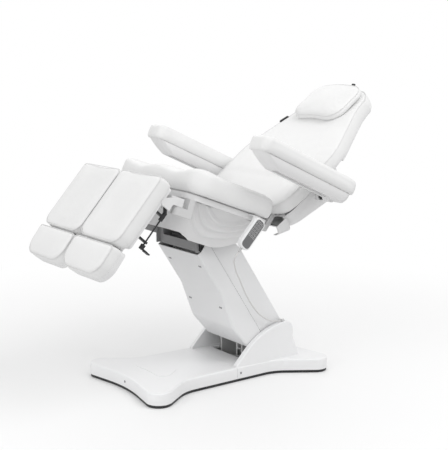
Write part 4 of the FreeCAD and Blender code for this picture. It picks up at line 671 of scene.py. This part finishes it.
def back_plan(inset):
    """Outline of the back: wide at the arms, narrow at the head, as a function of its inset."""
    half = [(264.0 - inset, -37.4 + inset, 110.0 - inset),
            (288.0 - inset, 320.0, 320.0), (164.0 - inset, 610.0, 320.0),
            (157.0 - inset, 719.0 - inset, 84.0 - inset)]
    return half + [(-u, v, r) for u, v, r in reversed(half)]


def round_nose(points):
    """Keeps the lower end of the back within a circle about its hinge, and behind its slanted rear.

    Front: n is at most sqrt(45^2 - t^2) below the hinge and rises by 11 mm over the 130 mm above it.
    Rear: n is at least that of the line from (-36.8, 26.7) to (21.5, -15.6), and the rear swells by
    9 mm over the board above t = 340."""
    t, n = points[..., 1], points[..., 2]
    below = np.sqrt(np.maximum(45.0 ** 2 - np.minimum(t, 0.0) ** 2, 0.0))
    front = np.where(t < 0, below, 45.0 + 11.0 * np.clip((t - 10.0) / 130.0, 0, 1))
    rear = np.where(t < 21.5, -15.6 + (21.5 - t) * 42.3 / 58.3, -40.0)
    n = n - 9.0 * np.clip((t - 340.0) / 60.0, 0, 1) * np.clip((10.0 - n) / 20.0, 0, 1)
    points[..., 2] = np.maximum(np.minimum(n, front), np.minimum(rear, front - 0.4))


class ChairBackCushion(bpy.types.Operator):
    """Back cushion with its rounded lower end and piped front seam"""
    bl_idname = "chair.back_cushion"
    bl_label = "Back cushion"

    def execute(self, context):
        grid = cushion_grid(back_plan, bottom=-15.6, thickness=58.1, crown=10.0, draw=8.0, shoulder=60.0,
                            dome=0.6)
        round_nose(grid)
        line = seam_ring(back_plan, height=42.5, draw=8.0)
        round_nose(line)
        add_cushion("back_cushion_soft", grid, BACK, "back", "back_cushion", line, cap=4.0,
                    calm=lambda along: (160.0 - along) / 60.0)
        add_piping("back_piping", line, BACK, "back")
        return {"FINISHED"}


def pillow_plan(inset):
    """Outline of the pillow: bowed long edges and swept-back ends, as a function of its inset."""
    long, wide = 108.0 - inset, 146.0 - inset
    low, high = 608.0 - long, 608.0 + long
    corner = 68.0 - inset
    return [(0.0, low, 500.0), (wide, low - 18.0, corner), (wide, high - 18.0, corner), (0.0, high, 500.0),
            (-wide, high - 18.0, corner), (-wide, low - 18.0, corner)]


class ChairHeadPillow(bpy.types.Operator):
    """Loose head pillow with its piped seam"""
    bl_idname = "chair.head_pillow"
    bl_label = "Head pillow"

    def execute(self, context):
        grid = cushion_grid(pillow_plan, bottom=53.8, thickness=26.0, crown=14.0, draw=9.0, shoulder=40.0,
                            dome=3.0, step=8.0)
        line = seam_ring(pillow_plan, height=79.8, draw=9.0, step=8.0)
        add_cushion("pillow_soft", grid, BACK, "pillow", "head_pillow", line, voxel=6.0)
        add_piping("pillow_piping", line, BACK, "pillow")
        return {"FINISHED"}


class ChairArmPads(bpy.types.Operator):
    """Padded tops of both armrests"""
    bl_idname = "chair.arm_pads"
    bl_label = "Arm pads"

    def execute(self, context):
        for side, sign in SIDES:
            plan = box_plan(centre=354.0 * sign, half=56.0, low=-440.0, high=55.0, low_corner=30.0,
                            high_corner=30.0)
            grid = cushion_grid(plan, bottom=32.0, thickness=54.0, crown=5.0, draw=4.0, shoulder=22.0,
                                dome=1.5, step=10.0, puff=1.2)
            line = seam_ring(plan, height=32.0, draw=4.0, step=10.0, out=0.0)
            add_cushion("arm_pad_soft_" + side, grid, ARM, "arm_" + side, "arm_pad_" + side, line,
                        cap=3.0)
        return {"FINISHED"}


class ChairLegPads(bpy.types.Operator):
    """Leg pads with a shallow trough for the calf"""
    bl_idname = "chair.leg_pads"
    bl_label = "Leg pads"

    def execute(self, context):
        for side, sign in SIDES:
            plan = box_plan(centre=144.0 * sign, half=141.5, low=-259.2, high=31.8, low_corner=46.0,
                            high_corner=16.0)
            grid = cushion_grid(plan, bottom=50.3, thickness=56.0, crown=5.0, draw=6.0, shoulder=12.0,
                                dome=0.5, puff=1.4)
            line = seam_ring(plan, height=106.3, draw=6.0)
            self.trough(grid, sign)
            add_cushion("leg_pad_soft_" + side, grid, LEG, "leg_" + side, "leg_pad_" + side, line,
                        cap=3.0, voxel=6.0)
            add_piping("leg_piping_" + side, line, LEG, "leg_" + side)
        return {"FINISHED"}

    def trough(self, points, sign):
        """Lowers the top by 5 (1 - (u / 95)^2) along the middle of the pad."""
        u, n = points[..., 0] - 144.0 * sign, points[..., 2]
        weight = np.clip((n - 104.0) / 5.0, 0, 1)
        points[..., 2] = n - 5.0 * np.clip(1 - (u / 95.0) ** 2, 0, 1) * weight


class ChairFootPads(bpy.types.Operator):
    """Foot pads with broad round lower ends"""
    bl_idname = "chair.foot_pads"
    bl_label = "Foot pads"

    def execute(self, context):
        for side, sign in SIDES:
            plan = box_plan(centre=144.0 * sign, half=138.0, low=-121.0, high=5.0, low_corner=66.0,
                            high_corner=12.0)
            grid = cushion_grid(plan, bottom=-61.0, thickness=55.0, crown=6.0, draw=6.0, shoulder=12.0,
                                dome=2.0, step=8.0, puff=1.4)
            line = seam_ring(plan, height=-6.0, draw=6.0, step=8.0)
            add_cushion("foot_pad_soft_" + side, grid, FOOT, "foot_" + side, "foot_pad_" + side, line,
                        voxel=6.0)
            add_piping("foot_piping_" + side, line, FOOT, "foot_" + side)
        return {"FINISHED"}


# Trims

def projected(grid, target, sign):
    """Points of a grid (rows, columns, 3) in metres, moved along X onto a CAD node's surface.

    Returns the moved grid and a mask of the points that met the surface."""
    mesh = new_mesh("projection", grid)
    probe = add_object("projection", mesh)
    wrap = probe.modifiers.new("wrap", "SHRINKWRAP")
    wrap.target = target
    wrap.wrap_method = "PROJECT"
    wrap.use_project_x = True
    wrap.use_positive_direction = sign < 0
    wrap.use_negative_direction = sign > 0
    seen = probe.evaluated_get(bpy.context.evaluated_depsgraph_get())
    moved = vertex_array(seen.data).reshape(grid.shape)
    bpy.data.objects.remove(probe)
    bpy.data.meshes.remove(mesh)
    return moved, np.abs(moved[..., 0] - grid[..., 0]) > 1e-5


def ridge_height(s, n):
    """Height of the swept ridges of the seat shell, 0 to 1, at (s, n) in the seat's frame.

    Three nested arcs, each a parabola n = low + bend (s - middle)^2 that is steeper in front; a
    ridge is a raised cosine across its arc, sharper on its lower side, and fades at its ends."""
    total = np.zeros(s.shape)
    for low, middle, front, rear, width in ((-131.0, 5.0, 0.0057, 0.0021, 15.0),
                                            (-101.0, 22.0, 0.0053, 0.0025, 13.0),
                                            (-73.0, 40.0, 0.005, 0.003, 12.0)):
        bend = np.where(s < middle, front, rear)
        arc = low + bend * (s - middle) ** 2
        slope = 2 * bend * (s - middle)
        away = (n - arc) / np.sqrt(1 + slope ** 2)
        shape = np.where(away < 0, np.clip(1 + away / (width * 0.45), 0, 1),
                         np.clip(1 - away / (width * 1.5), 0, 1))
        fade = np.clip((s + 128.0) / 30.0, 0, 1) * np.clip((212.0 - s) / 60.0, 0, 1)
        total = np.maximum(total, (0.5 - 0.5 * np.cos(np.pi * shape)) * fade)
    return total


class ChairSeatRidges(bpy.types.Operator):
    """Swept ridges on both flanks of the shell under the seat"""
    bl_idname = "chair.seat_ridges"
    bl_label = "Seat shell ridges"

    def execute(self, context):
        s, n = np.meshgrid(np.linspace(-126.0, 206.0, 150), np.linspace(-165.0, -27.0, 84))
        rise = ridge_height(s, n)
        for side, sign in SIDES:
            flat = np.dstack([np.full(s.shape, 262.0 * sign), s, n])
            grid, met = projected(tilted(flat, SEAT), nodes["seat_shell"], sign)
            grid[..., 0] += sign * (rise * sizes().ridge_height + 0.0003)
            even = np.abs(np.diff(grid[..., 0], axis=0))[:, :-1] < 0.02
            faces = sheet_faces(s.shape)
            keep = met.ravel()[faces].all(-1) & even & (rise.ravel()[faces].sum(-1) > 0.0)
            mesh = new_mesh("seat_ridges_" + side, grid, faces[keep])
            made = placed("seat_ridges_" + side, mesh, paint("shell"), "seat")
        return {"FINISHED"}


def strip(name, corners, thick, material, body):
    """Thin box: four corners of its face in metres, drawn thick metres along their own normal."""
    face = np.array(corners, float)
    normal = np.cross(face[1] - face[0], face[3] - face[0])
    normal *= thick / np.linalg.norm(normal)
    points = np.concatenate([face, face + normal])
    sides = [(0, 3, 2, 1), (4, 5, 6, 7), (0, 1, 5, 4), (1, 2, 6, 5), (2, 3, 7, 6), (3, 0, 4, 7)]
    made = placed(name, new_mesh(name, points, sides), material, body)
    made.data.polygons.foreach_set("use_smooth", np.zeros(6, bool))
    return made


class ChairColumnTrims(bpy.types.Operator):
    """Painted shadow of the parting gap on both flanks of the column, and edge strips on its head"""
    bl_idname = "chair.column_trims"
    bl_label = "Column trims"

    def execute(self, context):
        for side, sign in SIDES:
            # a dark strip just behind the edge of the front cover paints the shadow that falls inside the
            # parting gap
            x, front, rear, low, high = 139.3 * sign, -21.0, -18.8, 32.0, 503.0
            corners = tilted(np.array([(x, front, low), (x, rear, low), (x, rear, high), (x, front, high)]),
                             COLUMN)
            made = strip("column_parting_" + side, corners, 0.0004 * sign, paint("parting_shadow"), "front_link")
            inner, outer, plate, low, high = 0.1382 * sign, 0.1508 * sign, -0.1436, 0.536, 0.598
            corners = [(inner, plate, low), (outer, plate, low), (outer, plate, high), (inner, plate, high)]
            made = strip("head_edge_strip_" + side, corners, 0.001, paint("dark plastic"), "head")
        return {"FINISHED"}


def capsule(name, start, end, radius, place, body, flat=1.0):
    """Dark bar with round ends between two points of a tilted piece, squeezed by flat along its normal.

    Rings of radius sqrt(1 - s^2) for s from -1 to 0 and from 0 to 1 make the ends."""
    start, end = np.array(start, float), np.array(end, float)
    along = (end - start) / np.linalg.norm(end - start)
    side = np.cross(along, (0.0, 0.0, 1.0))
    side /= np.linalg.norm(side)
    up = np.cross(side, along)
    bend = np.linspace(-1, 1, 18)
    centre = np.where(bend[:, None] < 0, start, end) + along * bend[:, None] * radius
    size = np.sqrt(np.maximum(1 - bend ** 2, 0.0)) * radius
    angle = np.linspace(0, 2 * np.pi, 20, endpoint=False)
    ring = np.cos(angle)[:, None] * side + np.sin(angle)[:, None] * up * flat
    grid = centre[:, None] + size[:, None, None] * ring[None]
    closed_mesh(name, tilted(grid, place), paint("dark plastic"), body)


class ChairBackApron(bpy.types.Operator):
    """Side aprons that carry the rear shell of the back down past its hinge"""
    bl_idname = "chair.back_apron"
    bl_label = "Back aprons"

    def execute(self, context):
        # a quarter of a superellipse from the side (across) to the keel (normal), shallower further down
        turn, down = np.meshgrid(np.linspace(0, np.pi / 2, 16), np.linspace(0, 1, 10))
        inner, outer, top = 209.0, 262.0 - 3.0 * down, -16.5
        keel = -90.0 + 26.0 * down
        across = inner + (outer - inner) * np.cos(turn) ** 0.8
        normal = top + (keel - top) * np.sin(turn) ** 1.2
        for side, sign in SIDES:
            grid = np.dstack([across * sign, 1.0 - 57.0 * down, normal])
            mesh = new_mesh("back_apron_" + side, tilted(grid, BACK), sheet_faces(turn.shape))
            made = placed("back_apron_" + side, mesh, paint("shell"), "back")
            wall = made.modifiers.new("wall", "SOLIDIFY")
            wall.thickness = 0.0032
            wall.offset = 0.0
        return {"FINISHED"}


class ChairSmallTrims(bpy.types.Operator):
    """Rubber grip on the far edge of the back, tab of the pillow and handles of the leg locks"""
    bl_idname = "chair.small_trims"
    bl_label = "Small trims"

    def execute(self, context):
        capsule("side_grip_sleeve", (-217.0, 484.0, 43.0), (-203.0, 513.0, 43.0), 7.0, BACK, "back")
        capsule("pillow_tab", (54.0, 715.0, 76.0), (66.0, 713.0, 76.0), 5.0, BACK, "pillow", flat=0.9)
        for side, sign in SIDES:
            capsule("leg_lock_handle_" + side, (256.0 * sign, -52.0, 1.0), (256.0 * sign, -40.0, 11.0), 7.0,
                    LEG, "leg_" + side)
        return {"FINISHED"}


class ChairHandsetKeys(bpy.types.Operator):
    """Raised keys on the membrane of the handset"""
    bl_idname = "chair.handset_keys"
    bl_label = "Handset keys"

    def execute(self, context):
        row, column = np.meshgrid(np.arange(6), np.arange(3), indexing="ij")
        spots = np.column_stack([np.full(row.size, HANDSET_FACE), 50.0 - row.ravel() * 12.0,
                                 (column.ravel() - 1.0) * 11.5])
        self.keys("handset_key_outlines", spots, 4.0, 0.25, paint("key print"))
        self.keys("handset_keys", spots, 3.0, 0.5, paint("keypad"))
        return {"FINISHED"}

    def keys(self, name, places, half, height, material):
        """Low domed keys: superellipse rings of exponent 4 that shrink as they rise."""
        angle = np.linspace(0, 2 * np.pi, 16, endpoint=False)
        size = (np.abs(np.cos(angle)) ** 4 + np.abs(np.sin(angle)) ** 4) ** -0.25
        rings = []
        for scale, rise in ((1.0, 0.0), (0.96, 0.8), (0.85, 1.0), (0.0, 1.0)):
            rings.append(np.column_stack([np.full(16, rise * height), np.cos(angle) * size * scale * half,
                                          np.sin(angle) * size * scale * half]))
        key = np.array(rings)
        spots = np.arange(key.shape[0] * 16).reshape(key.shape[0], 16)
        quads = np.stack([spots[:-1], np.roll(spots[:-1], -1, axis=1), np.roll(spots[1:], -1, axis=1),
                          spots[1:]], axis=-1).reshape(-1, 4)
        points = key.reshape(1, -1, 3) + places[:, None, :]
        faces = quads[None] + (np.arange(len(places)) * spots.size)[:, None, None]
        made = placed(name, new_mesh(name, tilted(points, HANDSET), faces), material, "seat")


class ChairHandsetCord(bpy.types.Operator):
    """Cord from the handset to the gland on the near cheek"""
    bl_idname = "chair.handset_cord"
    bl_label = "Handset cord"

    def execute(self, context):
        route = np.array([(317.0, -85.38, 556.18), (317.0, -100.384, 540.088), (307.0, -101.0, 519.0),
                          (289.0, -84.0, 499.0), (266.0, -64.0, 481.0), (244.0, -44.0, 459.0),
                          (225.0, -16.0, 430.0), (205.0, 11.0, 397.0), (186.0, 44.0, 352.0),
                          (170.0, 84.0, 302.0), (158.0, 126.0, 258.0), (155.0, 166.0, 228.0),
                          (157.0, 208.0, 210.0), (157.0, 246.0, 210.0)]) / 1000.0
        curve = bpy.data.curves.new("handset_cord_line", "CURVE")
        curve.dimensions = "3D"
        spline = curve.splines.new("NURBS")
        spline.points.add(len(route) - 1)
        spline.points.foreach_set("co", np.column_stack([route, np.ones(len(route))]).ravel())
        spline.order_u = 3
        spline.use_endpoint_u = True
        spline.resolution_u = 8
        line = add_object("handset_cord_line", curve)
        path = vertex_array(bpy.data.meshes.new_from_object(line))
        curve.bevel_depth = sizes().cord_radius
        curve.bevel_resolution = 3
        curve.use_fill_caps = True
        tube = bpy.data.meshes.new_from_object(line)
        tube.name = "handset_cord_soft"
        bpy.data.objects.remove(line)
        made = placed("handset_cord_soft", tube, paint("cord"), None, merge=1e-6)
        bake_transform(made)
        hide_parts("handset_cord")
        return {"FINISHED"}


# Finishes of the CAD nodes

SLOT_PAINTS = {
    "steel_frame": "frame steel", "light_frame": "light steel", "rubber_feet": "rubber",
    "base_cover": "cover", "rim": "dark plastic", "screws": "screw", "pins": "ground steel",
    "inlet": "dark plastic", "gland": "pale rubber", "column_cover": "column", "drives": "drive",
    "rods": "ground steel", "head": "head", "seat_shells": "shell", "board": "board",
    "upholstery": "upholstery", "grip": "dark plastic", "hook": "light steel", "handset": "handset",
    "keypad": "keypad", "cord": "cord",
}


class ChairFinishes(bpy.types.Operator):
    """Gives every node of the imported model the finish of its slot, and the slot liner a pale one"""
    bl_idname = "chair.finishes"
    bl_label = "Finishes"

    def execute(self, context):
        for part in frame["record"]["subparts"]:
            mesh = nodes[part["node"]].data
            mesh.materials.clear()
            key = "cover" if part["node"] == "slot_liner" else SLOT_PAINTS[part["material_slot"]]
            mesh.materials.append(paint(key))
        return {"FINISHED"}


# Studio

LIGHT_AIM = (0.0, 0.0, 0.5)
CAMERA_PLACE = (3.2114, -2.2167, 1.2546)
CAMERA_DOWN = 9.48
CAMERA_TURN = 54.5


def area_light(name, spot, size, power):
    """Square soft light at spot, turned to the middle of the chair."""
    lamp = bpy.data.lights.new(name, "AREA")
    lamp.size = size
    lamp.energy = power
    made = add_object(name, lamp)
    away = np.array(spot) - np.array(LIGHT_AIM)
    made.location = spot
    made.rotation_euler = (math.atan2(math.hypot(away[0], away[1]), away[2]), 0.0,
                           math.atan2(away[1], away[0]) + math.pi / 2)


class ChairStage(bpy.types.Operator):
    """Pale floor, soft lights, white surroundings and the camera"""
    bl_idname = "chair.stage"
    bl_label = "Stage"

    def execute(self, context):
        self.floor()
        self.world()
        area_light("key light", (2.2, 1.0, 3.8), size=2.4, power=60.0)
        area_light("front light", (0.8, -4.2, 1.8), size=2.8, power=47.0)
        area_light("far light", (-3.0, 1.0, 3.0), size=2.4, power=14.0)
        scene = bpy.context.scene
        scene.view_settings.view_transform = "Standard"
        lens = bpy.data.cameras.new("camera")
        lens.lens = 80.0
        lens.sensor_width = 36.0
        made = add_object("camera", lens)
        made.location = CAMERA_PLACE
        made.rotation_euler = (math.radians(90.0 - CAMERA_DOWN), 0.0, math.radians(CAMERA_TURN))
        scene.camera = made
        return {"FINISHED"}

    def floor(self):
        """Square floor that shows white where no shadow falls, and pure white from 2.4 m outwards."""
        reach = 9.0
        corners = [(-reach, -reach, 0), (reach, -reach, 0), (reach, reach, 0), (-reach, reach, 0)]
        made = add_object("floor", new_mesh("floor", corners, [(0, 1, 2, 3)]))
        coat = bpy.data.materials.new("floor paint")
        coat.use_nodes = True
        tree = coat.node_tree
        link = tree.links.new
        shader = tree.nodes["Principled BSDF"]
        shader.inputs["Base Color"].default_value = (0.78, 0.78, 0.78, 1.0)
        shader.inputs["Roughness"].default_value = 0.65
        shader.inputs["Emission Color"].default_value = (1.0, 1.0, 1.0, 1.0)
        path = tree.nodes.new("ShaderNodeLightPath")
        glow = add_node(tree, "ShaderNodeMath", operation="MULTIPLY")
        glow.inputs[1].default_value = 0.12
        link(path.outputs["Is Camera Ray"], glow.inputs[0])
        link(glow.outputs[0], shader.inputs["Emission Strength"])
        place = tree.nodes.new("ShaderNodeTexCoord")
        away = add_node(tree, "ShaderNodeVectorMath", operation="LENGTH")
        white = tree.nodes.new("ShaderNodeEmission")
        link(mapped(tree, path.outputs["Is Camera Ray"], 0.0, 1.0, 0.6, 1.0), white.inputs["Strength"])
        blend = tree.nodes.new("ShaderNodeMixShader")
        link(place.outputs["Object"], away.inputs[0])
        link(mapped(tree, away.outputs["Value"], 0.9, 2.4, 0.0, 1.0, "SMOOTHSTEP"), blend.inputs[0])
        link(shader.outputs[0], blend.inputs[1])
        link(white.outputs[0], blend.inputs[2])
        link(blend.outputs[0], tree.nodes["Material Output"].inputs["Surface"])
        coat.cycles.emission_sampling = "NONE"
        made.data.materials.append(coat)

    def world(self):
        """White for the camera, for gloss and for glass, and a softer grey light on the chair."""
        sky = bpy.data.worlds.new("surroundings")
        sky.use_nodes = True
        bpy.context.scene.world = sky
        tree = sky.node_tree
        link = tree.links.new
        back = tree.nodes["Background"]
        back.inputs["Color"].default_value = (1.0, 1.0, 1.0, 1.0)
        path = tree.nodes.new("ShaderNodeLightPath")
        seen = add_node(tree, "ShaderNodeMath", operation="MAXIMUM")
        clear = add_node(tree, "ShaderNodeMath", operation="MAXIMUM")
        link(path.outputs["Is Camera Ray"], seen.inputs[0])
        link(path.outputs["Is Glossy Ray"], seen.inputs[1])
        link(seen.outputs[0], clear.inputs[0])
        link(path.outputs["Is Transmission Ray"], clear.inputs[1])
        link(mapped(tree, clear.outputs[0], 0.0, 1.0, 0.75, 1.0), back.inputs["Strength"])


class ChairPanel(bpy.types.Panel):
    """Sizes, colours and steps of the chair"""
    bl_idname = "CHAIR_PT_panel"
    bl_label = "Podiatry chair"
    bl_space_type = "VIEW_3D"
    bl_region_type = "UI"
    bl_category = "Chair"

    def draw(self, context):
        for group in (context.scene.chair_sizes, context.scene.chair_colours):
            for key in group.__annotations__:
                self.layout.prop(group, key)
        for step in STEPS:
            self.layout.operator(step.bl_idname)


STEPS = (ChairFinishes, ChairSeatCushion, ChairBackCushion, ChairHeadPillow, ChairArmPads, ChairLegPads,
         ChairFootPads, ChairSeatRidges, ChairColumnTrims, ChairBackApron, ChairSmallTrims,
         ChairHandsetKeys, ChairHandsetCord, ChairStage)
CLASSES = (ChairSizes, ChairColours, *STEPS, ChairPanel)


def register():
    for kind in CLASSES:
        bpy.utils.register_class(kind)
    bpy.types.Scene.chair_sizes = bpy.props.PointerProperty(type=ChairSizes)
    bpy.types.Scene.chair_colours = bpy.props.PointerProperty(type=ChairColours)


def unregister():
    del bpy.types.Scene.chair_colours
    del bpy.types.Scene.chair_sizes
    for kind in reversed(CLASSES):
        bpy.utils.unregister_class(kind)


def main():
    register()
    bpy.ops.chair.finishes()
    bpy.ops.chair.seat_cushion()
    bpy.ops.chair.back_cushion()
    bpy.ops.chair.head_pillow()
    bpy.ops.chair.arm_pads()
    bpy.ops.chair.leg_pads()
    bpy.ops.chair.foot_pads()
    bpy.ops.chair.seat_ridges()
    bpy.ops.chair.column_trims()
    bpy.ops.chair.back_apron()
    bpy.ops.chair.small_trims()
    bpy.ops.chair.handset_keys()
    bpy.ops.chair.handset_cord()
    bpy.ops.chair.stage()


if __name__ == "__main__":
    main()
